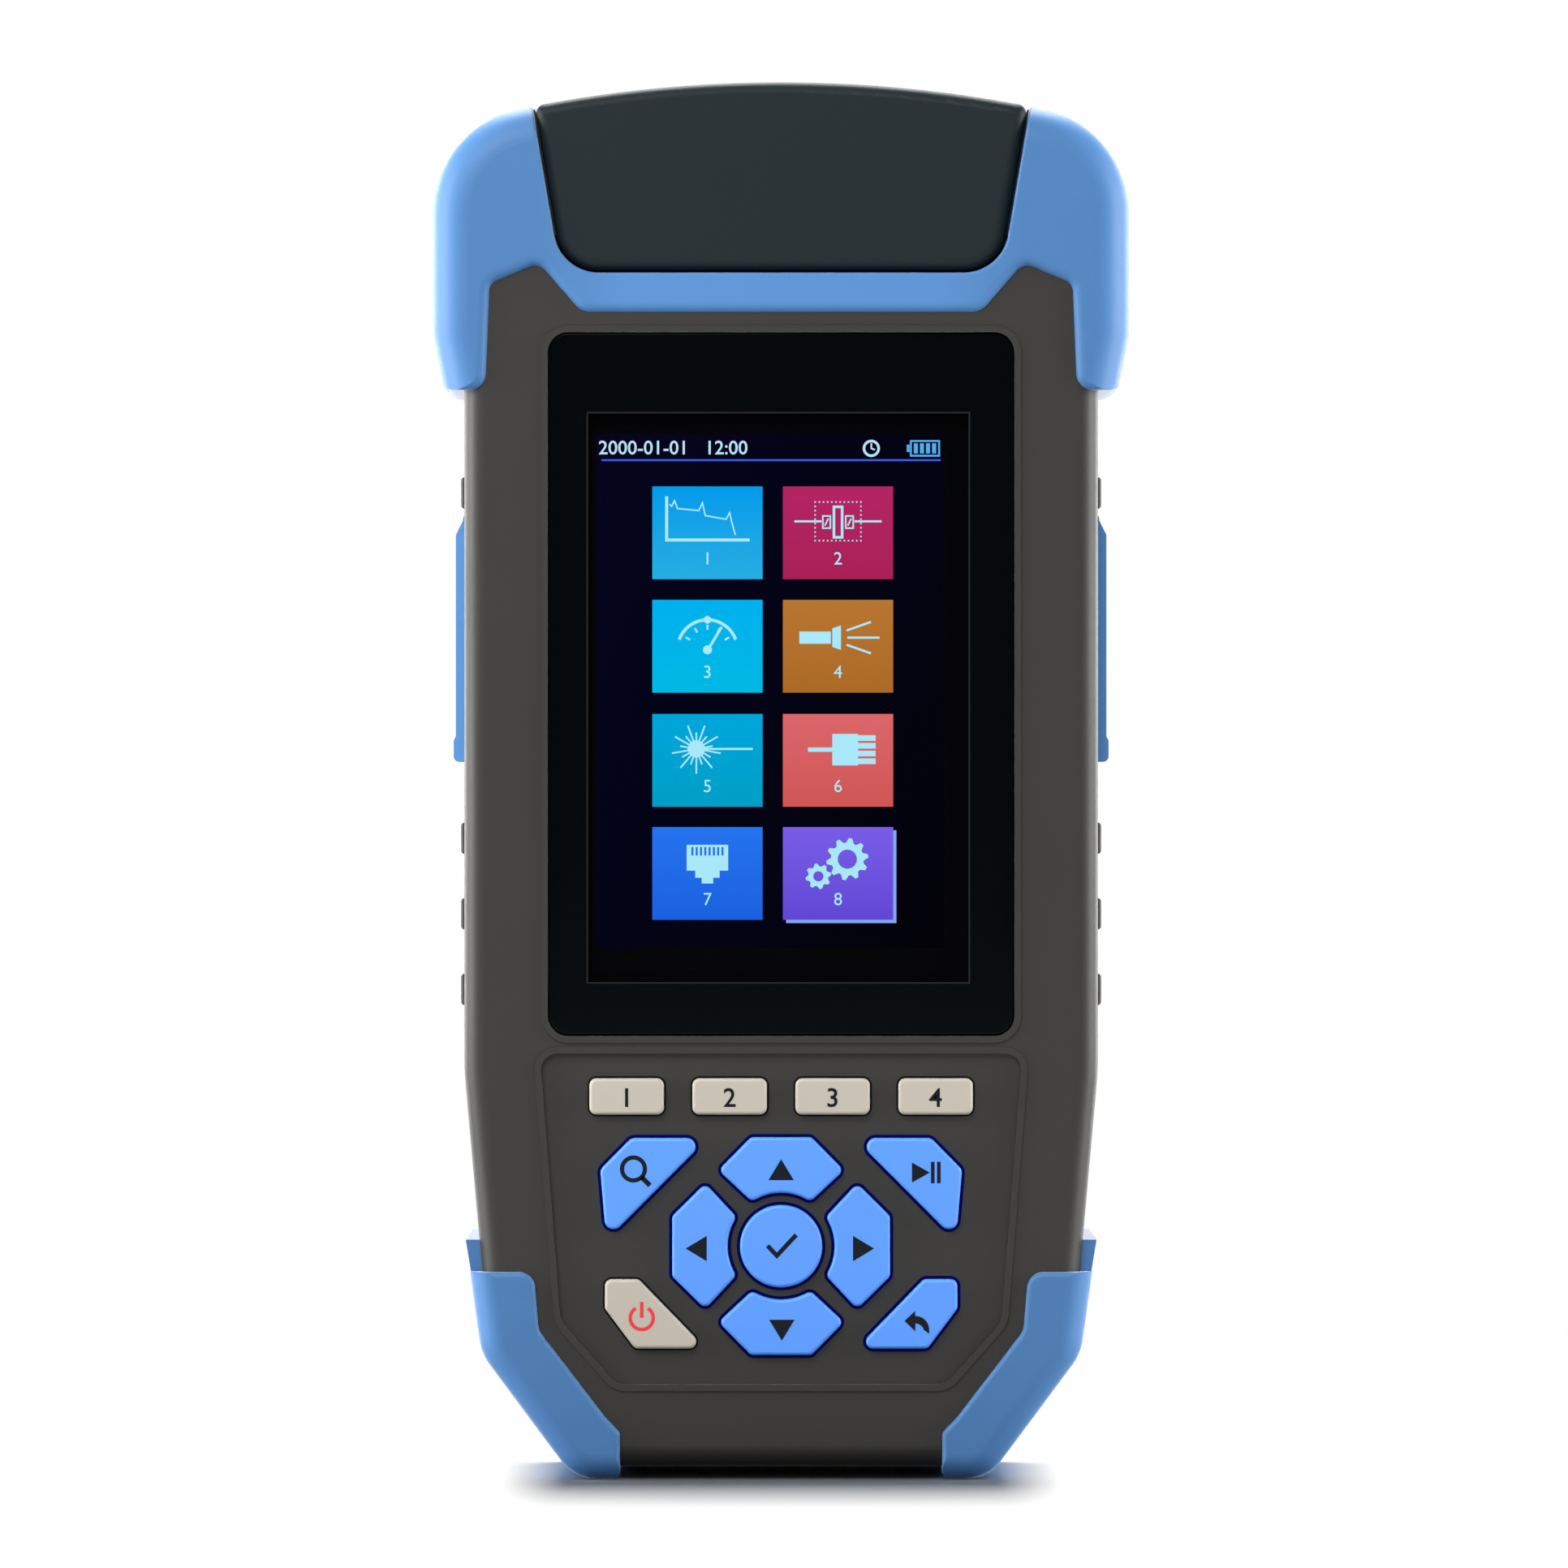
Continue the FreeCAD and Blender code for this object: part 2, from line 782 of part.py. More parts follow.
def rear_shell():
    shell = case_block().common(block(-far, far, parting, far, -far, far))
    cavity = prism(cavity_face(), -far, inner_back)
    shell = shell.cut(outside_tools() + [cavity])
    tray_half = cell_span() + tray_gap + tray_wall
    tray_bottom = cell_bottom - tray_gap
    tray_top = cell_bottom + cell_length + tray_gap
    tray = block(-tray_half, tray_half, tray_floor() - tray_wall, inner_back + overlap,
                 tray_bottom - tray_wall, tray_top + tray_wall)
    posts = []
    for side in (-1, 1):
        for x, z in case_posts():
            posts.append(rod(case_post_radius + case_post_sleeve, V(side * x, parting, z),
                             V(0, 1, 0), inner_back - parting + overlap))
        start = V(side * door_screw_side, inner_back - door_screw_length, door_screw_level)
        posts.append(rod(case_post_radius, start, V(0, 1, 0), door_screw_length + overlap))
    shell = joined(shell, [tray] + posts)
    inside_tray = block(-tray_half + tray_wall, tray_half - tray_wall, tray_floor(), far,
                        tray_bottom, tray_top)
    door_seat = prism(grown(door_face(), fit_gap), back - door_thickness, far)
    tools = [inside_tray, door_seat, seal_ring(screw_clearance), cover_pin(screw_clearance)]
    tools += [screw_bore(place) for place in case_screw_places() + door_screw_places()]
    tools += [prism(slot, parting, far) for slot in sound_slots()]
    return shell.cut(tools)


def tray_floor():
    """Front face of the battery: its back lies against the door."""
    return back - door_thickness - 2 * cell_radius


def sound_slots():
    slots = []
    for index in range(slot_count):
        level = buzzer_level + (index - (slot_count - 1) / 2) * slot_pitch
        slots.append(rectangle(-slot_length / 2, slot_length / 2,
                               level - slot_width / 2, level + slot_width / 2, slot_width * 0.45))
    return slots


def case_seal():
    return seal_ring(0)


# ---------------------------------------------------------------- screws
def screw(place):
    """Socket head screw that points towards -Y. A place is x, z, head plane, head and shank sizes."""
    x, z, head_at, head_radius, head_height, radius, length = place
    head = rod(head_radius, V(x, head_at - head_height, z), V(0, 1, 0), head_height)
    head = head.makeChamfer(head_height * 0.15, rim(head, head_at))
    shank = rod(radius, V(x, head_at - head_height - length, z), V(0, 1, 0), length)
    points = [(x + head_radius * 0.5 * math.cos(math.radians(60 * k)),
               z + head_radius * 0.5 * math.sin(math.radians(60 * k)), 0) for k in range(6)]
    socket = prism(face_of(points), head_at - head_height * 0.5, head_at + 1)
    return joined(head, [shank]).cut(socket)


def screw_bore(place):
    """The hole for a screw, with its head's counterbore open to the back."""
    x, z, head_at, head_radius, head_height, radius, length = place
    shank = rod(radius + screw_clearance, V(x, head_at - head_height - length, z), V(0, 1, 0),
                length + overlap)
    counterbore = rod(head_radius + fit_gap, V(x, head_at - head_height, z), V(0, 1, 0), far)
    return shank.fuse(counterbore)


def case_posts():
    return ((upper_post_side, upper_post_level), (lower_post_side, lower_post_level))


def case_screw_places():
    return [(side * x, z, core_back - head_sunk, case_screw_head, case_head_height,
             case_screw_radius, case_screw_length) for side in (-1, 1) for x, z in case_posts()]


def board_screw_places():
    return [(side * post_side, z, main_board_back + board_screw_head_height, board_screw_head,
             board_screw_head_height, board_screw_radius, board_screw_length)
            for side in (-1, 1) for z in (post_foot, post_head)]


def door_screw_places():
    return [(side * door_screw_side, door_screw_level, back - head_sunk, door_screw_head,
             door_head_height, door_screw_radius, door_screw_length) for side in (-1, 1)]


# ---------------------------------------------------------------- display and keypad parts
def display_lens():
    lens = prism(lens_face(), lens_front, lens_back)
    return lens.makeFillet(lens_edge, rim(lens, lens_front))


def lens_gasket():
    return prism(lens_face(), lens_back, lens_seat).cut(prism(window_face(), -far, far))


def lcd_module():
    module = prism(rectangle(lcd_left, lcd_right, lcd_bottom, lcd_top, lcd_corner),
                   inner_front, inner_front + lcd_thickness)
    glass = prism(rectangle(lcd_left + lcd_glass_inset, lcd_right - lcd_glass_inset,
                            window_bottom + 2 * lcd_corner, window_top - 2 * lcd_corner, lcd_corner / 2),
                  inner_front - lcd_glass_height, inner_front)
    return joined(module, [glass])


def keypad_mat():
    mat = prism(grown(keypad_face(), keypad_rib), mat_front, mat_back)
    domes = []
    for face in key_faces().values():
        middle = face.CenterOfMass
        domes.append(Part.makeCone(dome_radius, dome_radius * 0.7, mat_front - dome_top + overlap,
                                   V(middle.x, mat_front + overlap, middle.z), V(0, -1, 0)))
    return joined(mat, domes)


def keypad_board():
    return prism(grown(keypad_face(), keypad_rib), mat_back, mat_back + board_thickness)


# ---------------------------------------------------------------- boards and sockets
def main_board():
    board = prism(rectangle(-main_board_half_width, main_board_half_width,
                            main_board_bottom, main_board_top, main_board_corner),
                  main_board_level, main_board_back)
    chips = [chip(0, chip_width), chip(memory_side, memory_width)]
    board = joined(board, chips)
    return board.cut([screw_bore(place) for place in board_screw_places()])


def chip(x, width):
    return block(x - width / 2, x + width / 2, main_board_back, main_board_back + chip_height,
                 chip_level - width / 2, chip_level + width / 2)


def socket_face():
    return pocket_floor - socket_sunk


def rj45_jack():
    """Right-hand socket: a box with the plug's space and the slot for its latch."""
    middle = main_board_back + rj45_width / 2
    body = block(socket_face() - rj45_length, socket_face(),
                 main_board_back, main_board_back + rj45_width,
                 rj45_level - rj45_height / 2, rj45_level + rj45_height / 2)
    space = block(socket_face() - plug_depth, far, middle - plug_width / 2, middle + plug_width / 2,
                  rj45_level - plug_height / 2, rj45_level + plug_height / 2)
    latch = block(socket_face() - plug_depth, far,
                  middle + plug_width / 2, middle + plug_width / 2 + latch_depth,
                  rj45_level - latch_width / 2, rj45_level + latch_width / 2)
    return body.cut(space.fuse(latch))


def usb_foot(width, length):
    """What a small socket stands on, from the board up to the socket's shell."""
    return block(socket_face() - length, socket_face() - usb_lead,
                 main_board_back, usb_row() - width / 2 + usb_wall / 2,
                 usb_level - usb_c_tongue_length / 2, usb_level + usb_c_tongue_length / 2)


def usb_a_socket():
    """Right-hand socket: a folded steel shell round a plastic tongue."""
    half_width = usb_a_width / 2
    half_height = usb_a_height / 2
    inner_end = socket_face() - usb_a_length
    shell = block(inner_end, socket_face(), usb_row() - half_width, usb_row() + half_width,
                  usb_level - half_height, usb_level + half_height)
    space = block(inner_end + usb_floor, far,
                  usb_row() - half_width + usb_wall, usb_row() + half_width - usb_wall,
                  usb_level - half_height + usb_wall, usb_level + half_height - usb_wall)
    tongue = block(inner_end + usb_floor / 2, socket_face() - usb_lead,
                   usb_row() - usb_tongue - usb_wall, usb_row() - usb_wall,
                   usb_level - usb_tongue_length / 2, usb_level + usb_tongue_length / 2)
    return joined(shell.cut(space), [tongue, usb_foot(usb_a_width, usb_a_length)])


def usb_c_socket():
    """Left-hand charging socket with its flat oval mouth."""
    half_height = usb_c_height / 2
    half_width = usb_c_width / 2
    face = rectangle(usb_row() - half_width, usb_row() + half_width,
                     usb_level - half_height, usb_level + half_height, half_width * 0.9)
    shell = prism(face, 0, usb_c_length)
    shell = shell.cut(prism(grown(face, -usb_wall), usb_c_length / 8, far))
    tongue = prism(rectangle(usb_row() - usb_c_tongue / 2, usb_row() + usb_c_tongue / 2,
                             usb_level - usb_c_tongue_length / 2, usb_level + usb_c_tongue_length / 2,
                             usb_c_tongue / 4), usb_c_length / 16, usb_c_length - usb_lead)
    shell = joined(shell, [tongue])
    shell.rotate(V(0, 0, 0), V(0, 0, 1), 90)
    shell.translate(V(usb_c_length - socket_face(), 0, 0))
    return joined(shell, [mirrored(usb_foot(usb_c_width, usb_c_length))])


# ---------------------------------------------------------------- optics under the top cover
def optical_module():
    module_back = main_board_back + module_depth
    box = prism(rectangle(-module_half_width, module_half_width, module_bottom, module_top,
                          module_corner), main_board_back, module_back)
    lid = prism(rectangle(-module_half_width + module_lid_inset, module_half_width - module_lid_inset,
                          module_bottom + module_lid_inset, module_top - module_lid_inset,
                          module_corner), module_back, module_back + module_lid)
    return joined(box, [lid])


def port_deck_holes():
    holes = [rod(stub_radius + fit_gap, V(x, port_row, module_top), V(0, 0, 1), far)
             for x in port_places()]
    return holes[0].fuse(holes[1:])


def bay_floor_block():
    half = cover_bottom_half_width + cover_gap
    return block(-half, half, inner_front, parting, ceiling, deck)


def bay_floor():
    """Floor of the connector bay between the front wall and the parting plane."""
    return bay_floor_block().cut([seal_ring(screw_clearance), port_deck_holes()])


def port_places():
    return (-port_spacing, 0.0, port_spacing)


def port_plate():
    plate = block(-plate_half_width, plate_half_width, plate_front, plate_back,
                  deck, deck + plate_thickness)
    upright = [edge for edge in plate.Edges if edge.BoundBox.ZLength > plate_thickness / 2]
    return plate.makeFillet(plate_corner, upright).cut(port_deck_holes())


def port_barrel(x, radius):
    """Turned optical port: stub through the deck, flange, and an open barrel."""
    seat = deck + plate_thickness
    stub = rod(stub_radius, V(x, port_row, module_top), V(0, 0, 1), seat - module_top + overlap)
    flange = rod(port_flange, V(x, port_row, seat), V(0, 0, 1), port_flange_thickness)
    barrel = rod(radius, V(x, port_row, seat), V(0, 0, 1), port_flange_thickness + port_height)
    solid = joined(stub, [flange, barrel])
    hollow = rod(radius - port_wall, V(x, port_row, seat + port_flange_thickness), V(0, 0, 1), far)
    bore = rod(ferrule_radius + sleeve_wall, V(x, port_row, sleeve_base()), V(0, 0, 1), far)
    return solid.cut([hollow, bore])


def sleeve_base():
    return deck + plate_thickness + port_flange_thickness - sleeve_seat


def alignment_sleeves():
    """Three ceramic sleeves that take the fibre ferrules, one in each port."""
    sleeves = []
    for x in port_places():
        tube = rod(ferrule_radius + sleeve_wall, V(x, port_row, sleeve_base()), V(0, 0, 1), sleeve_length)
        sleeves.append(tube.cut(rod(ferrule_radius, V(x, port_row, deck), V(0, 0, 1), far)))
    return Part.makeCompound(sleeves)


# ---------------------------------------------------------------- top cover
def crown_limit(drop):
    """Everything under the arched top, seen from the front."""
    radius = crown_radius - drop
    return rod(radius, V(0, -far, cover_crown - crown_radius), V(0, 1, 0), 2 * far)


def cover_back():
    return hinge_row + barrel_radius


def softened(solid):
    """Rounds the cover's two upper corners, which run from front to back."""
    corners = [edge for edge in solid.Edges
               if abs(edge.tangentAt(edge.FirstParameter).y) > 0.99
               and all(v.Z > hinge_level + barrel_radius for v in edge.Vertexes)]
    return solid.makeFillet(cover_upper_corner, corners)


def top_cover():
    above = cover_crown + cover_corner
    hood_half = bay_rear_half() - moving_gap
    hood = block(-hood_half, hood_half, hinge_row - hinge_reach + moving_gap, cover_back(),
                 hinge_level, far).common(crown_limit(0))
    crest = [edge for edge in rim(hood, cover_back())
             if edge.CenterOfMass.z > cover_crown - barrel_radius]
    hood = softened(hood.makeFillet(barrel_radius, crest))
    body = softened(prism(cover_face(above), cover_front, hinge_row).common(crown_limit(0)))
    body = joined(body.makeFillet(cover_edge, rim(body, cover_front)), [hood])
    low = cover_bottom - cover_flange
    top_half_width = cover_bottom_half_width + cover_slant * (above - cover_bottom) - cover_wall
    low_half_width = top_half_width - cover_slant * (above - low)
    inner = face_of(both_sides([(low_half_width, low, 0), (top_half_width, above, 0)]))
    hollow = prism(inner, cover_front + cover_wall, cover_back() - cover_wall)
    hollow = hollow.common(crown_limit(cover_wall))
    under = block(-far, far, cover_front + cover_flange, far, -far, hinge_level - cover_flange_drop)
    rear = block(-far, far, hinge_row - hinge_reach, far, -far, hinge_level)
    barrel = rod(barrel_radius, V(-hood_half, hinge_row, hinge_level), V(1, 0, 0), 2 * hood_half)
    hole = rod(pin_radius + pin_clearance, V(-far, hinge_row, hinge_level), V(1, 0, 0), 2 * far)
    return joined(body.cut([hollow, under, rear]), [barrel]).cut(hole)


def cover_pin(growth):
    half = bay_rear_half() + pin_seat
    return rod(pin_radius + growth, V(-half - growth, hinge_row, hinge_level), V(1, 0, 0),
               2 * (half + growth))


# ---------------------------------------------------------------- side port covers
def port_cover():
    """Right-hand rubber cover: a plate with a round bead at its upper end and a pull tab below."""
    inner_x = pocket_floor + moving_gap
    axis = port_cover_level()
    bottom = pocket_bottom + moving_gap
    tab_face = port_cover_face + pull_tab_proud
    tab_top = bottom + pull_tab_height
    bead_slope = port_cover_bead * math.cos(math.radians(45)) * 0.9
    profile = [
        (inner_x, bottom, pull_tab_edge / 2), (tab_face, bottom, pull_tab_edge),
        (tab_face, tab_top, pull_tab_proud), (port_cover_face, tab_top + 2 * pull_tab_proud, pull_tab_proud),
        (port_cover_face, axis - port_cover_face + port_cover_axis, port_cover_edge),
        (port_cover_axis + bead_slope, axis + bead_slope, 0), (inner_x, axis, 0),
    ]
    front_end = pocket_front + moving_gap
    back_end = pocket_back - moving_gap
    plate = prism(face_of(profile), front_end, back_end)
    bead = rod(port_cover_bead, V(port_cover_axis, front_end, axis), V(0, 1, 0), back_end - front_end)
    return joined(plate, [bead])


# ---------------------------------------------------------------- battery and sound
def battery_pack():
    centre_y = tray_floor() + cell_radius
    cells = [rod(cell_radius, V(x, centre_y, cell_bottom), V(0, 0, 1), cell_length) for x in cell_row()]
    wrap = block(cell_row()[0], cell_row()[-1],
                 tray_floor() + overlap, tray_floor() + 2 * cell_radius - overlap,
                 cell_bottom + overlap, cell_bottom + cell_length - overlap)
    return joined(cells[0], cells[1:] + [wrap])


def battery_door():
    door = prism(door_face(), back - door_thickness, back)
    door = door.makeFillet(door_edge, rim(door, back))
    grips = []
    for index in range(grip_count):
        level = door_top - grip_drop - index * grip_pitch
        grips.append(block(-grip_half_length, grip_half_length, back - grip_depth, far,
                           level, level + grip_width))
    return door.cut(grips + [screw_bore(place) for place in door_screw_places()])


def buzzer():
    return rod(buzzer_radius, V(0, inner_back - buzzer_thickness, buzzer_level), V(0, 1, 0),
               buzzer_thickness)


# ---------------------------------------------------------------- every piece by its name
def all_parts():
    jack = rj45_jack()
    parts = {
        "front_shell": front_shell(), "rear_shell": rear_shell(), "case_seal": case_seal(),
        "top_bumper": top_bumper(), "bottom_bumper_right": bottom_bumper(),
        "bottom_bumper_left": mirrored(bottom_bumper()),
        "top_cover": top_cover(), "cover_hinge_pin": cover_pin(0),
        "display_lens": display_lens(), "lens_gasket": lens_gasket(), "lcd_module": lcd_module(),
        "keypad_mat": keypad_mat(), "keypad_board": keypad_board(), "main_board": main_board(),
        "rj45_jack_right": jack, "rj45_jack_left": mirrored(jack),
        "usb_a_socket": usb_a_socket(), "usb_c_socket": usb_c_socket(),
        "optical_module": optical_module(), "bay_floor": bay_floor(), "port_plate": port_plate(),
        "otdr_port": port_barrel(0, port_radius),
        "power_meter_port": port_barrel(-port_spacing, power_port_radius),
        "fault_locator_port": port_barrel(port_spacing, port_radius),
        "alignment_sleeves": alignment_sleeves(),
        "right_port_cover": port_cover(), "left_port_cover": mirrored(port_cover()),
        "battery_pack": battery_pack(), "battery_door": battery_door(), "buzzer": buzzer(),
        "case_screws": Part.makeCompound([screw(place) for place in case_screw_places()]),
        "board_screws": Part.makeCompound([screw(place) for place in board_screw_places()]),
        "battery_door_screws": Part.makeCompound([screw(place) for place in door_screw_places()]),
    }
    for name, face in key_faces().items():
        parts[name] = key(face)
    return parts


for name, shape in all_parts().items():
    shape.exportStep("parts/%s.step" % name)
    box = shape.BoundBox
    print("%-22s %d solid(s) x %.1f..%.1f y %.1f..%.1f z %.1f..%.1f"
          % (name, len(shape.Solids), box.XMin, box.XMax, box.YMin, box.YMax, box.ZMin, box.ZMax))
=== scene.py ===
"""Looks of a handheld optical time domain reflectometer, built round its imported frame.

Metres, +Z up, the display faces -Y. The sections follow the object as it is put together.
"""
import json
import math

import bmesh
import bpy
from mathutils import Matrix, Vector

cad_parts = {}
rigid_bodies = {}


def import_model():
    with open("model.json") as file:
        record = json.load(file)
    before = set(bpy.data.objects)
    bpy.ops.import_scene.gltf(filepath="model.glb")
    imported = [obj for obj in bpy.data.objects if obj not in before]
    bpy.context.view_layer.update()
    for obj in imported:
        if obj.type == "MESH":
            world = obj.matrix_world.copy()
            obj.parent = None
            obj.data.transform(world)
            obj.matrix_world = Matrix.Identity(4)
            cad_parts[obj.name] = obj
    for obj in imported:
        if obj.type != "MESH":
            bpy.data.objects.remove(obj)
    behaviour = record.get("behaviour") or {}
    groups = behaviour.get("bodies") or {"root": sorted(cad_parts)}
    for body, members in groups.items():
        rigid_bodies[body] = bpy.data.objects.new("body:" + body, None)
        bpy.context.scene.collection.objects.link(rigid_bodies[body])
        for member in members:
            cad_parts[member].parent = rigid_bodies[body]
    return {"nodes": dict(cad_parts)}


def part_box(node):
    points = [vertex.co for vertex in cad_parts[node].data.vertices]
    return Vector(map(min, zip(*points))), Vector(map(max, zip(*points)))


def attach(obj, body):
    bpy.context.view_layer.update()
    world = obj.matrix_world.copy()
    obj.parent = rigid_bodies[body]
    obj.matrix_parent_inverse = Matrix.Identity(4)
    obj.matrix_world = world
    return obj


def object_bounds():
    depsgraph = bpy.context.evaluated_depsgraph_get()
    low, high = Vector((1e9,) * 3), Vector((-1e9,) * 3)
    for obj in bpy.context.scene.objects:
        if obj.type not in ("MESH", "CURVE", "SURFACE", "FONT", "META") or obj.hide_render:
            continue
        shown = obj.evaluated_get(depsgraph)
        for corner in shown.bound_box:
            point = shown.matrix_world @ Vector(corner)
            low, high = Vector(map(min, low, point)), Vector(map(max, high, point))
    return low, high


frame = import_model()
cad_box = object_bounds()
nodes = frame["nodes"]
scene = bpy.context.scene
mm = 0.001


# ------------------------------------------------------------------ case shells
# Two halves injection moulded in warm dark grey ABS with a fine spark-eroded texture,
# screwed together from the back round a thin black seal.
class Signal:
    """A number, colour or vector on its way through a material's nodes."""

    def __init__(self, finish, socket):
        self.finish = finish
        self.socket = socket

    def __add__(self, other):
        return self.finish.maths("ADD", self, other)

    def __radd__(self, other):
        return self.finish.maths("ADD", other, self)

    def __sub__(self, other):
        return self.finish.maths("SUBTRACT", self, other)

    def __rsub__(self, other):
        return self.finish.maths("SUBTRACT", other, self)

    def __mul__(self, other):
        return self.finish.maths("MULTIPLY", self, other)

    def __rmul__(self, other):
        return self.finish.maths("MULTIPLY", other, self)

    def __truediv__(self, other):
        return self.finish.maths("DIVIDE", self, other)

    def __gt__(self, other):
        return self.finish.maths("GREATER_THAN", self, other)

    def __lt__(self, other):
        return self.finish.maths("LESS_THAN", self, other)

    def __abs__(self):
        return self.finish.maths("ABSOLUTE", self)

    def limited(self):
        """Kept between 0 and 1."""
        return self.finish.maths("MINIMUM", self.finish.maths("MAXIMUM", self, 0.0), 1.0)


class Finish:
    """One surface finish: a Principled material whose varying inputs come from node maths."""

    def __init__(self, name, colour, roughness, **uniform):
        self.material = bpy.data.materials.new(name)
        self.material.use_nodes = True
        self.tree = self.material.node_tree
        self.shader = self.tree.nodes["Principled BSDF"]
        self.shader.inputs["Base Color"].default_value = (*colour, 1)
        self.shader.inputs["Roughness"].default_value = roughness
        for socket, value in uniform.items():
            self.shader.inputs[socket.replace("_", " ")].default_value = value

    def node(self, kind, settings=None, sockets=None, output=0):
        made = self.tree.nodes.new(kind)
        for name, value in (settings or {}).items():
            setattr(made, name, value)
        for name, value in (sockets or {}).items():
            self.feed(made.inputs[name], value)
        return Signal(self, made.outputs[output])

    def maths(self, operation, *values):
        return self.node("ShaderNodeMath", {"operation": operation}, dict(enumerate(values)))

    def feed(self, socket, value):
        if isinstance(value, Signal):
            self.tree.links.new(value.socket, socket)
        else:
            socket.default_value = value

    def place(self):
        return self.node("ShaderNodeTexCoord", output="Object")

    def axes(self):
        split = self.node("ShaderNodeSeparateXYZ", sockets={0: self.place()})
        outputs = split.socket.node.outputs
        return [Signal(self, outputs[axis]) for axis in ("X", "Y", "Z")]

    def noise(self, size, detail=2.0, rough=0.5, stretch=None):
        """Noise whose spots are about this size in metres."""
        where = self.place()
        if stretch:
            where = self.node("ShaderNodeMapping", sockets={"Vector": where, "Scale": stretch})
        sockets = {"Vector": where, "Scale": 1.0 / size, "Detail": detail, "Roughness": rough}
        return self.node("ShaderNodeTexNoise", sockets=sockets)

    def mix(self, factor, first, second):
        """The first colour where the factor is 0, and the second where it is 1."""
        first, second = (end if isinstance(end, Signal) else (*end, 1) for end in (first, second))
        sockets = {0: factor, 6: first, 7: second}
        return self.node("ShaderNodeMix", {"data_type": "RGBA"}, sockets, output=2)

    def vary(self, name, value):
        self.feed(self.shader.inputs[name], value)

    def bump(self, height, depth):
        self.vary("Normal", self.node("ShaderNodeBump", sockets={"Distance": depth, "Height": height}))


def shade(colour, factor):
    return tuple(channel * factor for channel in colour)


def moulded(name, colour, grain=0.35 * mm, depth=0.018 * mm, roughness=0.52, spread=0.08, **uniform):
    """Moulded plastic or rubber: fine even grain, faint cloudiness and uneven sheen."""
    finish = Finish(name, colour, roughness, **uniform)
    cloud = finish.noise(22 * mm, 3.0)
    speck = finish.noise(grain, 3.0, 0.6)
    blend = (cloud * 0.7 + speck * 0.3).limited()
    finish.vary("Base Color", finish.mix(blend, shade(colour, 1 - spread), shade(colour, 1 + spread)))
    finish.vary("Roughness", roughness - 0.07 + cloud * 0.09 + speck * 0.05)
    finish.bump(speck, depth)
    return finish


def dress(names, finish):
    """Gives CAD nodes a finish in place of the plain one that they came with."""
    for name in names:
        slots = nodes[name].data.materials
        slots.clear()
        slots.append(finish.material)


case_finish = moulded("case grey ABS", (0.0198, 0.0186, 0.0162), roughness=0.5, Sheen_Weight=0.22,
                      Sheen_Roughness=0.22, Specular_IOR_Level=0.38)
dress(["front_shell", "rear_shell", "battery_door", "bay_floor"], case_finish)
seal_finish = moulded("seal rubber", (0.012, 0.012, 0.013), roughness=0.7)
dress(["case_seal", "lens_gasket"], seal_finish)


# ------------------------------------------------------------------ bumpers
# Soft blue thermoplastic rubber, moulded over the corners of the case. It is satin, with a
# very fine grain, and slightly paler where it is worn. The middle of its upper band is painted
# paler as well, a painted highlight for the light that falls more on it there.
painted_band_half_width = 34 * mm
painted_band_blend = 12 * mm
painted_band_foot = 140 * mm
painted_band_rise = 15 * mm
rubber_blue = (0.055, 0.165, 0.375)


def rubber(name, paler=None):
    """Blue rubber, and where paler gives a factor for a finish, a paler blue."""
    finish = Finish(name, rubber_blue, 0.5, Sheen_Weight=0.6, Sheen_Roughness=0.25,
                    Specular_IOR_Level=0.3)
    cloud = finish.noise(30 * mm, 4.0)
    grain = finish.noise(0.28 * mm, 2.0)
    scuff = finish.noise(5 * mm, 6.0, 0.65, stretch=(1.0, 1.0, 2.5))
    wear = ((scuff - 0.56) * 5.0).limited() * 0.35
    across, _, height = finish.axes()
    # Painted highlight: the middle of the upper band is made paler, where light falls more on it.
    painted_band_light = ((painted_band_half_width - abs(across)) / painted_band_blend).limited()
    painted_band_light = painted_band_light * ((height - painted_band_foot) / painted_band_rise).limited()
    tint = (cloud * 0.8 + grain * 0.2).limited()
    body = finish.mix(tint, shade(rubber_blue, 0.93), shade(rubber_blue, 1.07))
    body = finish.mix(painted_band_light * 0.8, body, shade(rubber_blue, 1.36))
    if paler:
        body = finish.mix(paler(finish), body, shade(rubber_blue, 1.75))
    body = finish.mix(wear * 0.35, body, shade(rubber_blue, 1.35))
    finish.vary("Base Color", body)
    finish.vary("Roughness", 0.44 + cloud * 0.08 + wear * 0.2 + grain * 0.04)
    finish.bump(grain, 0.012 * mm)
    return finish


bumper_blue = rubber("bumper blue rubber")
dress(["top_bumper", "bottom_bumper_left", "bottom_bumper_right"], bumper_blue)


# ------------------------------------------------------------------ boards, module and battery
# What the case holds: green glass-fibre boards, the silver optical module, three cells in
# blue shrink wrap and a round black buzzer.
board_green = Finish("solder mask", (0.012, 0.10, 0.035), 0.35)
weave = board_green.noise(0.8 * mm, 1.0)
board_green.vary("Base Color", board_green.mix(weave, (0.010, 0.085, 0.03), (0.016, 0.12, 0.045)))
board_green.bump(weave, 0.01 * mm)
dress(["main_board", "keypad_board"], board_green)


def brushed(name, colour, roughness, along, metallic=1.0):
    """Metal with fine marks that run along the axis whose stretch is small."""
    finish = Finish(name, colour, roughness, Metallic=metallic)
    marks = finish.noise(0.3 * mm, 4.0, 0.6, stretch=along)
    cloud = finish.noise(12 * mm, 2.0)
    blend = (marks * 0.5 + cloud * 0.5).limited()
    finish.vary("Base Color", finish.mix(blend, shade(colour, 0.85), shade(colour, 1.08)))
    finish.vary("Roughness", roughness - 0.06 + marks * 0.14)
    finish.bump(marks, 0.004 * mm)
    return finish


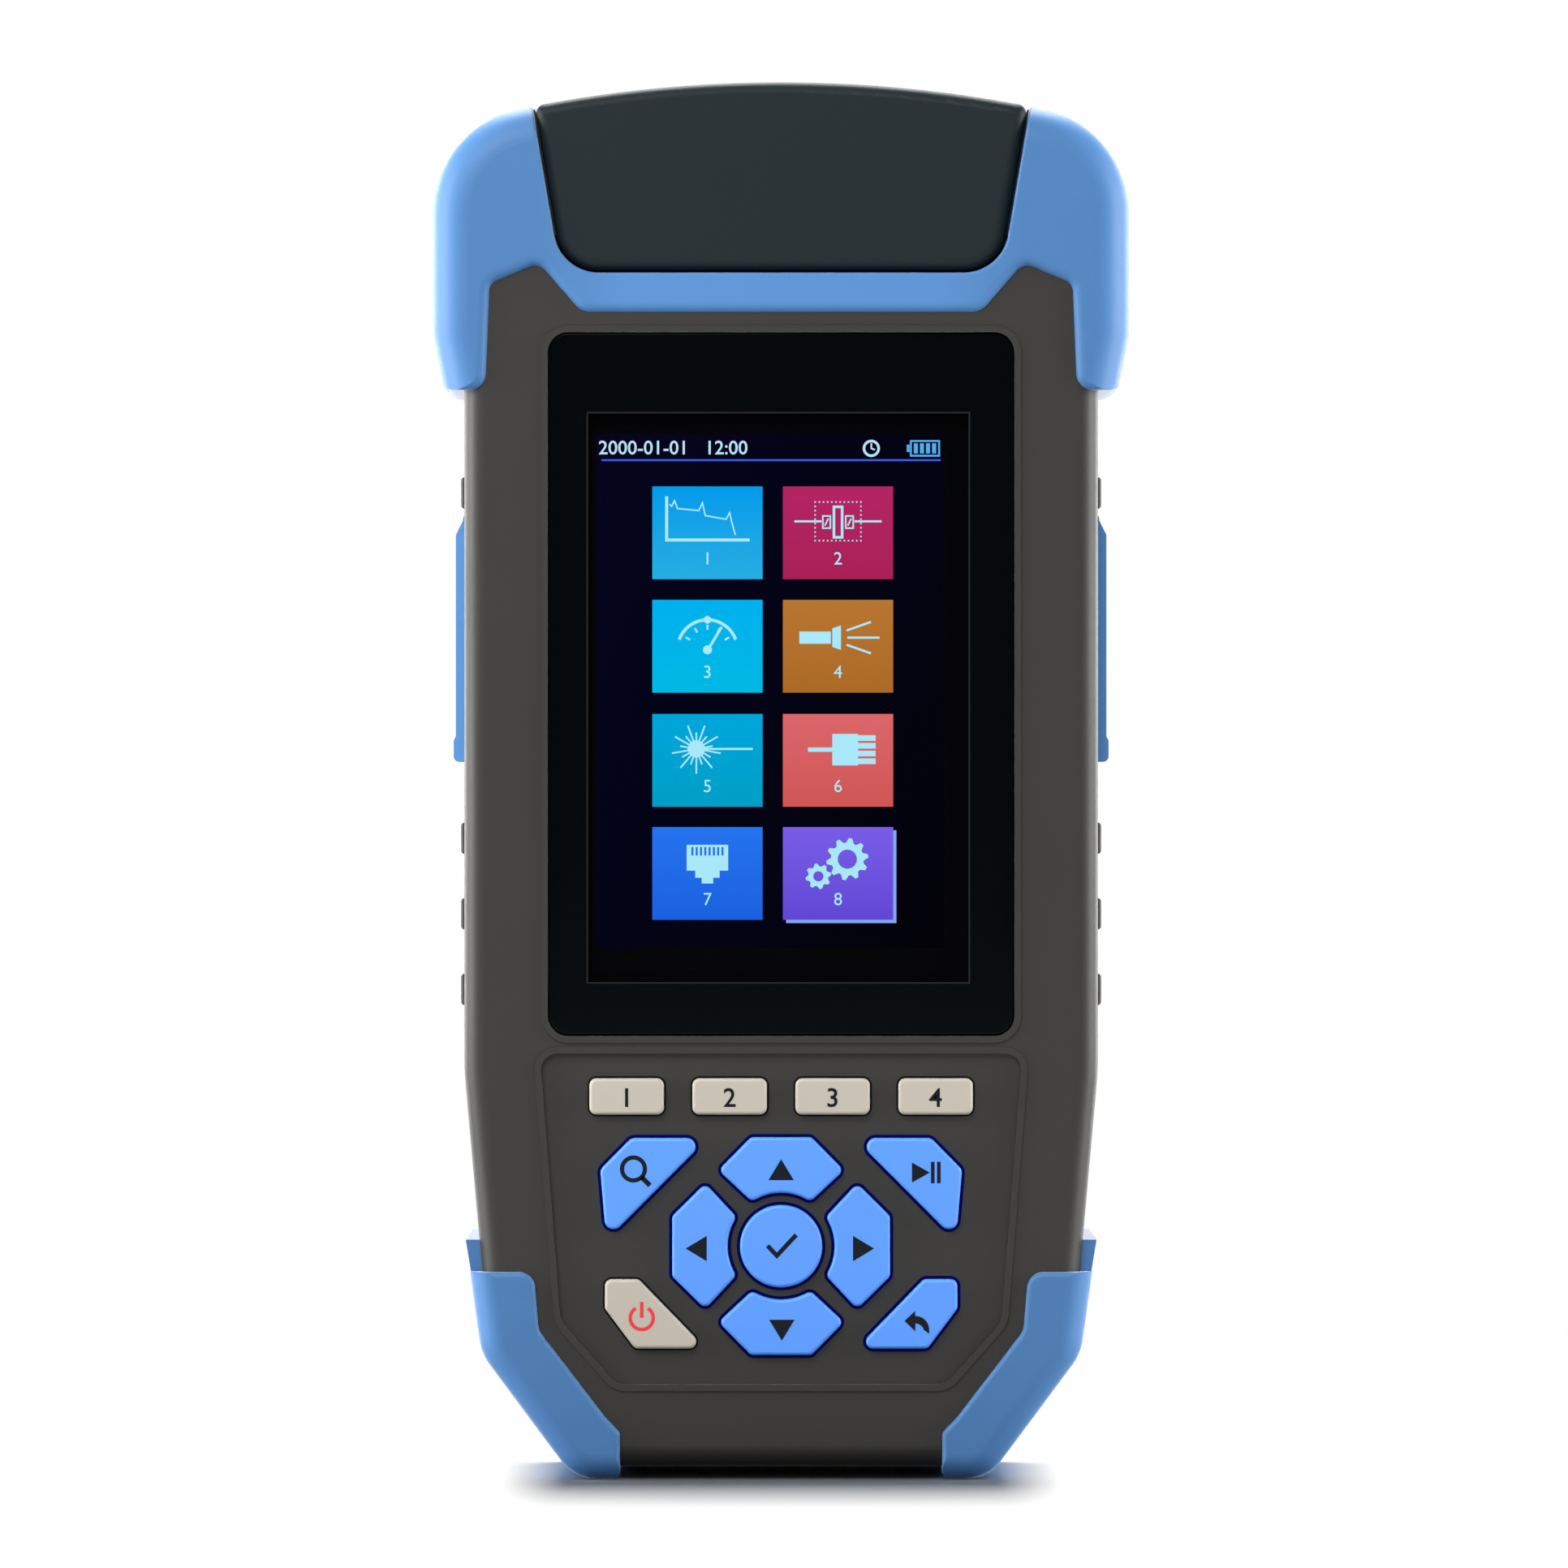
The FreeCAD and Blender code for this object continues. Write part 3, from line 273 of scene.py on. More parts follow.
module_metal = brushed("module aluminium", (0.56, 0.57, 0.59), 0.38, (0.08, 1.0, 1.0))
dress(["optical_module"], module_metal)
shrink_wrap = moulded("battery shrink wrap", (0.03, 0.09, 0.36), roughness=0.28, depth=0.01 * mm)
dress(["battery_pack"], shrink_wrap)
# The mat's near-black navy is painted shade for the gaps round the keys, where it shows.
silicone = moulded("keypad silicone", (0.004, 0.005, 0.02), roughness=0.62)
dress(["keypad_mat"], silicone)
socket_black = moulded("socket nylon", (0.014, 0.014, 0.016), roughness=0.42)
dress(["buzzer", "rj45_jack_left", "rj45_jack_right"], socket_black)


# ------------------------------------------------------------------ screws and pin
# Zinc plated socket screws, driven in from the back and into the boards, and the bright
# steel pin that the top cover swings on.
zinc = brushed("zinc plated steel", (0.58, 0.59, 0.61), 0.3, (1.0, 0.1, 1.0))
dress(["case_screws", "board_screws", "battery_door_screws", "cover_hinge_pin"], zinc)


# ------------------------------------------------------------------ sockets
# Two network sockets with sprung gold contacts, and two small sockets with folded steel
# shells and moulded tongues. All are soldered to the board behind the side covers.
shell_metal = brushed("socket shell steel", (0.24, 0.245, 0.25), 0.45, (1.0, 0.1, 1.0))
dress(["usb_a_socket", "usb_c_socket"], shell_metal)
gold = brushed("gold plated contacts", (0.80, 0.55, 0.20), 0.22, (0.2, 1.0, 1.0))
tongue_black = moulded("tongue plastic", (0.012, 0.012, 0.013), roughness=0.5)


def joined(made):
    """Curves, text or meshes turned into one mesh, which holds its own place."""
    bpy.ops.object.select_all(action="DESELECT")
    for piece in made:
        piece.select_set(True)
    bpy.context.view_layer.objects.active = made[0]
    bpy.ops.object.convert(target="MESH")
    if len(made) > 1:
        bpy.ops.object.join()
    bpy.ops.object.transform_apply(location=True, rotation=True, scale=True)
    return bpy.context.view_layer.objects.active


def fitted(piece, name, finish, body):
    """Gives a finished mesh its name and finish, and lets it ride on a body."""
    piece.name = name
    piece.data.materials.clear()
    piece.data.materials.append(finish.material)
    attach(piece, body)


def bars(name, corners, soften, finish, body):
    """Straight bars, each between two opposite corners, as one mesh with softened edges."""
    made = []
    for first, second in corners:
        middle = [(a + b) / 2 for a, b in zip(first, second)]
        size = [abs(a - b) for a, b in zip(first, second)]
        bpy.ops.mesh.primitive_cube_add(size=1, calc_uvs=False, location=middle, scale=size)
        made.append(bpy.context.object)
    piece = joined(made)
    if soften:
        bpy.ops.object.mode_set(mode="EDIT")
        bpy.ops.mesh.select_all(action="SELECT")
        bpy.ops.mesh.bevel(offset=soften, segments=2, profile=0.5, affect="EDGES")
        bpy.ops.object.mode_set(mode="OBJECT")
    fitted(piece, name, finish, body)


def bent_wires(name, paths, radius, finish, body):
    """Round wires along smooth paths, as one mesh."""
    made = []
    for path in paths:
        curve = bpy.data.curves.new(name, "CURVE")
        curve.dimensions = "3D"
        curve.bevel_depth = radius
        curve.bevel_resolution = 2
        curve.use_fill_caps = True
        spline = curve.splines.new("NURBS")
        spline.points.add(len(path) - 1)
        spline.order_u = 3
        spline.use_endpoint_u = True
        spline.resolution_u = 4
        for point, place in zip(spline.points, path):
            point.co = (*place, 1)
        piece = bpy.data.objects.new(name, curve)
        scene.collection.objects.link(piece)
        made.append(piece)
    piece = joined(made)
    bpy.ops.object.shade_smooth()
    fitted(piece, name, finish, body)


# Each network socket: eight sprung gold wires that rise inwards between the teeth of a comb.
# A wire's points are how far it has gone in and up, in millimetres.
contact_pitch = 1.02 * mm
contact_rise = [(1.7, 0.22), (2.6, 0.26), (5.2, 1.35), (8.2, 2.5), (9.6, 2.55), (10.4, 2.1), (10.8, 0.25)]
jack_wall = 4.1 * mm
tooth_root = 12.9 * mm
tooth_tip = 8.6 * mm
tooth_reach = 2.9 * mm
tooth_half_width = 0.2 * mm
for side, name in ((1, "right"), (-1, "left")):
    jack_low, jack_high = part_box("rj45_jack_" + name)
    mouth = jack_high.x if side > 0 else -jack_low.x
    wall = (jack_low.y + jack_high.y) / 2 - jack_wall
    level = (jack_low.z + jack_high.z) / 2
    wires = []
    for k in range(8):
        z = level + (k - 3.5) * contact_pitch
        wires.append([(side * (mouth - inward * mm), wall + up * mm, z) for inward, up in contact_rise])
    bent_wires("rj45_%s_contacts" % name, wires, 0.21 * mm, gold, "case")
    teeth = []
    for k in range(9):
        z = level + (k - 4) * contact_pitch
        teeth.append(((side * (mouth - tooth_root), wall, z - tooth_half_width),
                      (side * (mouth - tooth_tip), wall + tooth_reach, z + tooth_half_width)))
    bars("rj45_%s_comb" % name, teeth, 0.08 * mm, socket_black, "case")

# The small socket on the right: a black tongue with four wide gold strips on it.
usb_low, usb_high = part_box("usb_a_socket")
usb_row = (usb_low.y + usb_high.y) / 2 + 0.3 * mm
usb_level = (usb_low.z + usb_high.z) / 2
skin = 0.02 * mm
tongue_face = usb_row - 0.4 * mm
tongue_thickness = 1.85 * mm
tongue_half_height = 5.55 * mm
tongue_root = 1.9 * mm
tongue_tip = 1.4 * mm
strip_root = 8.6 * mm
strip_tip = 2.0 * mm
strip_thickness = 0.1 * mm
strip_half_height = 0.5 * mm
strips = []
for offset in (-3.5, -1.0, 1.0, 3.5):
    z = usb_level + offset * mm
    strips.append(((usb_high.x - strip_root, tongue_face - skin, z - strip_half_height),
                   (usb_high.x - strip_tip, tongue_face + strip_thickness, z + strip_half_height)))
bars("usb_a_contacts", strips, 0.03 * mm, gold, "case")
tongue = ((usb_low.x + tongue_root, tongue_face - tongue_thickness, usb_level - tongue_half_height),
          (usb_high.x - tongue_tip, tongue_face - skin, usb_level + tongue_half_height))
bars("usb_a_tongue", [tongue], 0.2 * mm, tongue_black, "case")

# The one on the left is smaller: a thin black tongue with twelve fine strips on each face.
c_low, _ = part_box("usb_c_socket")
c_tongue_tip = 1.45 * mm
c_tongue_root = 6.4 * mm
c_half_thickness = 0.37 * mm
c_half_height = 3.33 * mm
c_pitch = 0.5 * mm
c_strip_tip = 1.9 * mm
c_strip_root = 5.6 * mm
c_strip_thickness = 0.05 * mm
c_strip_half_height = 0.13 * mm
c_strips = []
for face_side in (-1, 1):
    face = usb_row + face_side * (c_half_thickness - skin)
    for k in range(12):
        z = usb_level + (k - 5.5) * c_pitch
        raised = face + face_side * c_strip_thickness
        c_strips.append(((c_low.x + c_strip_tip, face, z - c_strip_half_height),
                         (c_low.x + c_strip_root, raised, z + c_strip_half_height)))
bars("usb_c_contacts", c_strips, 0.0, gold, "case")
c_tongue = ((c_low.x + c_tongue_tip, usb_row - c_half_thickness, usb_level - c_half_height),
            (c_low.x + c_tongue_root, usb_row + c_half_thickness, usb_level + c_half_height))
bars("usb_c_tongue", [c_tongue], 0.12 * mm, tongue_black, "case")


# ------------------------------------------------------------------ side covers
# Covers of the bumpers' blue rubber over the sockets, each moulded in one piece with its
# hinge line. Their long edges are painted paler, a painted highlight where light catches them,
# and soft plugs stand inside.
cover_depths = [corner.co.y for corner in nodes["right_port_cover"].data.vertices]
cover_middle = (min(cover_depths) + max(cover_depths)) / 2
cover_half_depth = (max(cover_depths) - min(cover_depths)) / 2
rim_highlight_width = 0.9 * mm
rim_highlight_blend = 0.6 * mm


# Factor for the painted highlight along a cover's long edges.
def polished_edges(finish):
    _, along, _ = finish.axes()
    return ((abs(along - cover_middle) - (cover_half_depth - rim_highlight_width)) / rim_highlight_blend).limited()


cover_blue = rubber("side cover blue rubber", polished_edges)
dress(["left_port_cover", "right_port_cover"], cover_blue)

# The plugs keep the dust out of each socket. A plug's values are how far it reaches to the
# front, to the back and up and down from the middle of its socket, and its length.
inside_face = 43.45 * mm
jack_plug = (3.2 * mm, 3.4 * mm, 4.9 * mm, 1.9 * mm)
usb_a_plug = (1.05 * mm, 2.65 * mm, 5.2 * mm, 1.5 * mm)
usb_c_plug = (1.1 * mm, 1.1 * mm, 3.6 * mm, 1.5 * mm)


def plug_corners(side, row, level, plug):
    to_front, to_back, half_height, length = plug
    return ((side * (inside_face - length), row - to_front, level - half_height),
            (side * inside_face, row + to_back, level + half_height))


for side, name, small_plug in ((1, "right", usb_a_plug), (-1, "left", usb_c_plug)):
    jack_low, jack_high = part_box("rj45_jack_" + name)
    jack_row = (jack_low.y + jack_high.y) / 2
    jack_level = (jack_low.z + jack_high.z) / 2
    plugs = [plug_corners(side, jack_row, jack_level, jack_plug),
             plug_corners(side, usb_row, usb_level, small_plug)]
    bars(name + "_cover_plugs", plugs, 0.45 * mm, bumper_blue, name + "_port_cover")


# ------------------------------------------------------------------ optical ports
# Turned and nickel plated brass barrels on a black anodised plate, each with a white
# ceramic sleeve in the middle that lines up the fibre's ferrule.
nickel = brushed("nickel plate", (0.66, 0.64, 0.60), 0.24, (1.0, 1.0, 6.0))
thread_foot = 173.2 * mm
thread_top = 179.4 * mm
thread_pitch = 0.6 * mm
_, _, port_z = nickel.axes()
threaded = (port_z > thread_foot) * (port_z < thread_top)
groove = nickel.maths("SINE", port_z * (2 * math.pi / thread_pitch))
nickel.bump(groove * threaded, 0.14 * mm)
dress(["otdr_port", "power_meter_port", "fault_locator_port"], nickel)
anodised = brushed("black anodised plate", (0.03, 0.03, 0.033), 0.45, (0.1, 1.0, 1.0), metallic=0.6)
dress(["port_plate"], anodised)
ceramic = Finish("ceramic sleeve", (0.83, 0.83, 0.79), 0.18)
ceramic.bump(ceramic.noise(0.5 * mm), 0.003 * mm)
dress(["alignment_sleeves"], ceramic)


# ------------------------------------------------------------------ top cover
# Hinged dust cover over the ports, moulded in near-black plastic with a slight blue cast
# and a fine texture like the case's.
cover_finish = moulded("cover black ABS", (0.0069, 0.0132, 0.0158), roughness=0.52, spread=0.06,
                       Specular_IOR_Level=0.17)
dress(["top_cover"], cover_finish)


def outline_at(name, depth):
    """A CAD node's outline where a plane across its depth cuts it, as (x, z) points."""
    cut = bmesh.new()
    cut.from_mesh(nodes[name].data)
    bmesh.ops.remove_doubles(cut, verts=cut.verts, dist=0.002 * mm)
    everything = list(cut.verts) + list(cut.edges) + list(cut.faces)
    bmesh.ops.bisect_plane(cut, geom=everything, plane_co=(0, depth, 0), plane_no=(0, 1, 0),
                           clear_inner=True, clear_outer=True)
    vertex = max(cut.verts, key=lambda place: place.co.x)
    start = vertex
    edge = vertex.link_edges[0]
    loop = []
    while not loop or vertex != start:
        loop.append((vertex.co.x, vertex.co.z))
        vertex = edge.other_vert(vertex)
        edge = next(other for other in vertex.link_edges if other != edge)
    cut.free()
    kept = [point for k, point in enumerate(loop) if math.dist(point, loop[k - 1]) > 0.03 * mm]
    turn = sum(x * kept[k - 1][1] - z * kept[k - 1][0] for k, (x, z) in enumerate(kept))
    return kept if turn < 0 else kept[::-1]


# A thin black dust lip along each side of the cover, which closes most of the gap beside it.
# It follows the straight part of the cover's side, between the corners of its outline.
lip_front = -20.6 * mm
lip_back = -10 * mm
lip_gap = 0.02 * mm
lip_thickness = 0.25 * mm
lip_past_corner = 0.9 * mm
lower_corner_top = 174 * mm
cover_side = outline_at("top_cover", -18 * mm)
lower = next(point for point in reversed(cover_side) if point[1] < lower_corner_top)
upper = cover_side[-1]
lean = math.atan2(upper[0] - lower[0], upper[1] - lower[1])
lip_length = math.dist(lower, upper) + lip_past_corner
outward = lip_gap + lip_thickness / 2
lip_x = lower[0] + math.sin(lean) * lip_length / 2 + math.cos(lean) * outward
lip_z = lower[1] + math.cos(lean) * lip_length / 2 - math.sin(lean) * outward
lips = []
for side in (1, -1):
    bpy.ops.mesh.primitive_cube_add(size=1, calc_uvs=False, rotation=(0, side * lean, 0),
                                    location=(side * lip_x, (lip_front + lip_back) / 2, lip_z),
                                    scale=(lip_thickness, lip_back - lip_front, lip_length))
    lips.append(bpy.context.object)
fitted(joined(lips), "cover_dust_lips", seal_finish, "top_cover")


# ------------------------------------------------------------------ display window
# A black-edged acrylic window over the screen. Its printed border is opaque, and the clear
# middle is the size of the opening in the case.
window_middle = -0.4 * mm
window_half_width = 26.8 * mm
window_bottom = 69.2 * mm
window_top = 149.1 * mm

lens_finish = Finish("display window", (0.0008, 0.0017, 0.0022), 0.06, Specular_IOR_Level=0.06)
lens_x, _, lens_z = lens_finish.axes()
clear = ((abs(lens_x - window_middle) < window_half_width)
         * (lens_z > window_bottom) * (lens_z < window_top))
smear = lens_finish.noise(14 * mm, 4.0)
lens_finish.vary("Roughness", 0.05 + smear * 0.08)
lens_finish.vary("Alpha", 1.0 - clear * 0.95)
dress(["display_lens"], lens_finish)
panel_glass = Finish("panel glass", (0.0006, 0.0006, 0.0012), 0.35, Specular_IOR_Level=0.02)
panel_glass.vary("Roughness", 0.3 + panel_glass.noise(6 * mm) * 0.1)
dress(["lcd_module"], panel_glass)


# ------------------------------------------------------------------ lit screen
# A 3.5 inch colour panel under the window. Its menu is drawn with plain symbols: a header
# with a clock, a line, and eight tiles, each with a picture and its number.
digit_share = 0.7       # height of a digit within its text size


def faced_front(piece, front, thickness):
    """Stands a flat shape up with its face to the front, at this depth."""
    piece.rotation_euler = (math.pi / 2, 0, 0)
    piece.location = (0, front + thickness / 2, 0)
    return joined([piece])


def printed(name, groups, at, finish, front, thickness, body, slot, turn=0.0):
    """Thin printed shape that faces the front, at (x, z) and with its face at a depth.

    Each group is a list of closed loops of (x, z), and a loop inside another is a hole.
    """
    made = []
    for loops in groups:
        curve = bpy.data.curves.new(name, "CURVE")
        curve.dimensions = "2D"
        curve.fill_mode = "BOTH"
        curve.extrude = thickness / 2
        for loop in loops:
            spline = curve.splines.new("POLY")
            spline.points.add(len(loop) - 1)
            spline.use_cyclic_u = True
            for point, (x, z) in zip(spline.points, loop):
                along = x * math.cos(turn) - z * math.sin(turn)
                up = x * math.sin(turn) + z * math.cos(turn)
                point.co = (at[0] + along, at[1] + up, 0, 1)
        piece = bpy.data.objects.new(name, curve)
        scene.collection.objects.link(piece)
        made.append(piece)
    fitted(faced_front(joined(made), front, thickness), name, finish, body)


def digits(name, text, at, height, finish, front, thickness, body, slot, bold=0.0):
    """Plain numbers, centred on (x, z) and with their face at a depth."""
    bpy.ops.object.text_add()
    piece = bpy.context.object
    piece.data.body = text
    piece.data.align_x = "CENTER"
    piece.data.align_y = "CENTER"
    piece.data.size = height / digit_share
    piece.data.offset = bold
    piece.data.extrude = thickness / 2
    piece.data.resolution_u = 4
    piece = joined([piece])
    piece.location = (at[0], at[1], 0)
    fitted(faced_front(joined([piece]), front, thickness), name, finish, body)


def box_loop(width, height, x=0.0, z=0.0):
    half_width, half_height = width / 2, height / 2
    return [(x - half_width, z - half_height), (x + half_width, z - half_height),
            (x + half_width, z + half_height), (x - half_width, z + half_height)]


def spot(radius, degrees, x=0.0, z=0.0):
    """The point this far from (x, z), in this direction."""
    turn = math.radians(degrees)
    return x + radius * math.cos(turn), z + radius * math.sin(turn)


def round_loop(radius, x=0.0, z=0.0, count=32):
    return [spot(radius, 360 * k / count, x, z) for k in range(count)]


def arc(radius, start, end, x=0.0, z=0.0, count=18):
    return [spot(radius, start + (end - start) * k / count, x, z) for k in range(count + 1)]


def stroke(points, width):
    """Outline of a bent line of even width, with mitred bends."""
    left, right = [], []
    for index, (x, z) in enumerate(points):
        before = points[max(index - 1, 0)]
        after = points[min(index + 1, len(points) - 1)]
        first = math.atan2(z - before[1], x - before[0]) if index else None
        second = math.atan2(after[1] - z, after[0] - x) if index < len(points) - 1 else None
        first = second if first is None else first
        second = first if second is None else second
        middle = (first + second) / 2
        if abs(first - second) > math.pi:
            middle += math.pi
        reach = width / 2 / max(math.cos((first - second) / 2), 0.35)
        left.append((x - reach * math.sin(middle), z + reach * math.cos(middle)))
        right.append((x + reach * math.sin(middle), z - reach * math.cos(middle)))
    return left + right[::-1]


def scaled(groups, size):
    return [[[(x * size, z * size) for x, z in loop] for loop in loops] for loops in groups]


def moved(groups, across, up):
    return [[[(x + across, z + up) for x, z in loop] for loop in loops] for loops in groups]


def lit(name, low, high=None, bottom=0.0, height=200 * mm):
    """Light of one colour on the screen, or shaded from one to another up its height."""
    finish = Finish(name, (0, 0, 0), 0.5, Emission_Strength=1.0, Specular_IOR_Level=0.0)
    _, _, z = finish.axes()
    dither = finish.noise(0.3 * mm, 0.0)
    factor = ((z - bottom) / height + (dither - 0.5) * 0.12).limited()
    finish.vary("Emission Color", finish.mix(factor, low, high or shade(low, 1.08)))
    return finish


screen_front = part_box("lcd_module")[0].y - 0.02 * mm
screen_left, screen_right = -25.9 * mm, 22.7 * mm
screen_bottom, screen_top = 74.2 * mm, 146.0 * mm
screen_width, screen_height = screen_right - screen_left, screen_top - screen_bottom
layer = 0.05 * mm
film = 0.03 * mm


def on_screen(level):
    """The face and thickness of a layer of the screen's picture, and what it rides on."""
    return screen_front - level * layer, film, "case", "lcd"


screen_glow = Finish("screen background", (0, 0, 0), 0.5, Emission_Strength=1.0, Specular_IOR_Level=0.0)
glow_x, _, glow_z = screen_glow.axes()
from_left = ((screen_right - glow_x) / screen_width).limited()
from_below = ((glow_z - screen_bottom) / screen_height).limited()
glow = from_left * 0.6 + from_below * 0.4
screen_glow.vary("Emission Color", screen_glow.mix(glow, (0.0006, 0.0006, 0.002), (0.0018, 0.0016, 0.014)))
printed("screen_panel", [[box_loop(screen_width, screen_height)]],
        ((screen_left + screen_right) / 2, (screen_top + screen_bottom) / 2),
        screen_glow, screen_front, 0.04 * mm, "case", "lcd")

# A thin pale line at the panel's own frame, just inside the window's printed border. It is
# drawn as a faint glow, a painted highlight.
frame_glow_line = lit("panel edge glow", (0.026, 0.027, 0.028))
window_height = window_top - window_bottom
edge_width = 0.2 * mm
printed("panel_edge_glow", [[box_loop(2 * window_half_width, window_height),
                        box_loop(2 * (window_half_width - edge_width), window_height - 2 * edge_width)]],
        (window_middle, (window_top + window_bottom) / 2), frame_glow_line, *on_screen(0))

header_white = lit("header light", (0.50, 0.78, 1.0))
line_blue = lit("header line light", (0.05, 0.11, 0.75))
symbol_light = lit("symbol light", (0.42, 0.86, 1.0))

# The header: the date and time, a clock, a battery with four bars, and a line below them.
header_level = 144.0 * mm
header_digit_height = 1.9 * mm
header_line_level = 142.35 * mm
printed("header_line", [[box_loop(47.4 * mm, 0.25 * mm)]], (-1.4 * mm, header_line_level),
        line_blue, *on_screen(1))
digits("header_date", "2000-01-01   12:00", (-15.1 * mm, header_level), header_digit_height,
       header_white, *on_screen(1), bold=0.02 * mm)
clock = [[round_loop(1.2), round_loop(0.85)], [stroke([(0, 0.7), (0, 0), (0.5, -0.2)], 0.22)]]
printed("header_clock", scaled(clock, mm), (12.6 * mm, header_level), header_white, *on_screen(1))
battery = [[box_loop(4.2, 2.3), box_loop(3.7, 1.8)], [box_loop(0.4, 1.0, -2.35)]]
battery += [[box_loop(0.55, 1.4, (k - 1.5) * 0.85)] for k in range(4)]
printed("header_battery", scaled(battery, mm), (20.1 * mm, header_level),
        lit("battery light", (0.10, 0.42, 0.85)), *on_screen(1))


def gear(radius, teeth, x, z, hole):
    """A toothed wheel with a hole, as two loops."""
    root = radius * 0.78
    rim = [spot(radius if k % 4 in (0, 1) else root, 90 * (k + 0.5) / teeth, x, z)
           for k in range(teeth * 4)]
    return [rim, round_loop(hole, x, z, 20)]


def burst(rays, core, middle, outer, width):
    """Round core with thin rays that are long and short by turns."""
    loops = [[round_loop(core)]]
    for k in range(rays):
        ends = [spot(reach, 360 * (k + 0.5) / rays) for reach in (core * 0.8, outer if k % 2 else middle)]
        loops.append([stroke(ends, width)])
    return loops


def dots(half_width, half_height, spacing, size):
    """A dotted frame."""
    loops = []
    across = round(2 * half_width / spacing)
    upward = round(2 * half_height / spacing)
    for k in range(across + 1):
        x = -half_width + 2 * half_width * k / across
        loops += [[box_loop(size, size, x, half_height)], [box_loop(size, size, x, -half_height)]]
    for k in range(1, upward):
        z = -half_height + 2 * half_height * k / upward
        loops += [[box_loop(size, size, half_width, z)], [box_loop(size, size, -half_width, z)]]
    return loops


# The eight pictures, in millimetres from the middle of each tile.
trace_picture = [
    [stroke([(-5.7, 4.6), (-5.7, -1.5), (5.9, -1.5)], 0.42)],
    [stroke([(-5.3, 3.5), (-5.0, 3.2), (-4.6, 4.0), (-4.2, 2.9), (-1.2, 2.6), (-0.7, 3.7), (-0.3, 1.9),
             (2.6, 1.4), (3.1, 2.3), (3.4, 1.0), (3.9, -0.8)], 0.19)],
]
joint_picture = [[stroke([(-6.1, 1.1), (-2.3, 1.1)], 0.28)], [stroke([(2.3, 1.1), (6.1, 1.1)], 0.28)],
                 [box_loop(1.5, 4.6, 0, 1.0), box_loop(0.8, 3.9, 0, 1.0)],
                 [box_loop(1.25, 1.9, -1.6, 1.0), box_loop(0.85, 1.5, -1.6, 1.0)],
                 [box_loop(1.25, 1.9, 1.6, 1.0), box_loop(0.85, 1.5, 1.6, 1.0)],
                 [stroke([(-1.85, 0.5), (-1.35, 1.5)], 0.2)], [stroke([(1.35, 0.5), (1.85, 1.5)], 0.2)]]
joint_picture += moved(dots(3.2, 2.7, 0.58, 0.2), 0, 1.1)
meter_picture = [[stroke(arc(4.2, 20, 160), 0.42)], [stroke([(0.25, 0.3), (2.0, 3.2)], 0.34)],
                 [round_loop(0.62, count=20)]]
meter_picture += [[stroke([spot(reach, degrees) for reach in (3.5, 2.8)], 0.26)]
                  for degrees in (30, 60, 90, 120, 150)]
meter_picture = moved(meter_picture, 0, -1.0)
torch_picture = [[box_loop(4.4, 1.7, -3.2, 0.7)], [[(-0.8, -0.6), (0.4, -1.0), (0.4, 2.4), (-0.8, 2.0)]],
                 [stroke([(1.3, 0.7), (5.8, 0.7)], 0.3)], [stroke([(1.2, 1.7), (4.6, 2.9)], 0.3)],
                 [stroke([(1.2, -0.3), (4.6, -1.5)], 0.3)]]
laser_picture = burst(18, 1.2, 2.3, 3.45, 0.22) + [[stroke([(1.0, 0), (7.9, 0)], 0.28)]]
laser_picture = moved(laser_picture, -1.55, 1.1)
splitter_picture = [[box_loop(3.6, 4.4, 1.0, 1.0)], [stroke([(-4.2, 1.0), (-0.7, 1.0)], 0.6)]]
splitter_picture += [[box_loop(2.5, 0.78, 4.0, 1.0 + level)] for level in (-1.62, -0.54, 0.54, 1.62)]
jack_half = [(0.8, -1.9), (0.8, -1.1), (1.7, -1.1), (1.7, -0.1), (2.9, -0.1), (2.9, 3.5)]
jack_shape = jack_half + [(-x, z) for x, z in reversed(jack_half)]
jack_picture = [[jack_shape] + [box_loop(0.3, 1.2, -2.1 + 0.6 * k, 2.6) for k in range(8)]]
gears_picture = [gear(2.95, 10, 1.3, 1.5, 1.35), gear(1.8, 8, -2.75, -0.9, 0.72)]

# Each tile: its picture, and the colours at its foot and top.
tile_width = 15.4 * mm
tile_height = 12.95 * mm
tile_columns = (-10.3 * mm, 7.95 * mm)
tile_rows = (132.2 * mm, 116.35 * mm, 100.4 * mm, 84.6 * mm)
picture_rise = 0.5 * mm
number_rise = 2.8 * mm
number_height = 1.75 * mm
tile_looks = [
    (trace_picture, (0.02, 0.46, 0.84), (0.0, 0.36, 0.92)),
    (joint_picture, (0.44, 0.016, 0.105), (0.50, 0.02, 0.14)),
    (meter_picture, (0.0, 0.54, 0.86), (0.0, 0.48, 0.94)),
    (torch_picture, (0.45, 0.16, 0.02), (0.53, 0.20, 0.035)),
    (laser_picture, (0.0, 0.38, 0.62), (0.0, 0.42, 0.78)),
    (splitter_picture, (0.70, 0.10, 0.10), (0.78, 0.15, 0.16)),
    (jack_picture, (0.012, 0.13, 0.82), (0.02, 0.19, 0.95)),
    (gears_picture, (0.13, 0.07, 0.72), (0.21, 0.12, 0.90)),
]
for index, (picture, low, high) in enumerate(tile_looks):
    tile = "tile_%d" % (index + 1)
    x, z = tile_columns[index % 2], tile_rows[index // 2]
    bottom = z - tile_height / 2
    tile_light = lit("tile %d light" % (index + 1), low, high, bottom, tile_height)
    printed(tile, [[box_loop(tile_width, tile_height)]], (x, z), tile_light, *on_screen(1))
    printed(tile + "_picture", scaled(picture, mm), (x, z + picture_rise), symbol_light, *on_screen(2))
    digits(tile + "_number", str(index + 1), (x, bottom + number_rise), number_height,
           symbol_light, *on_screen(2))

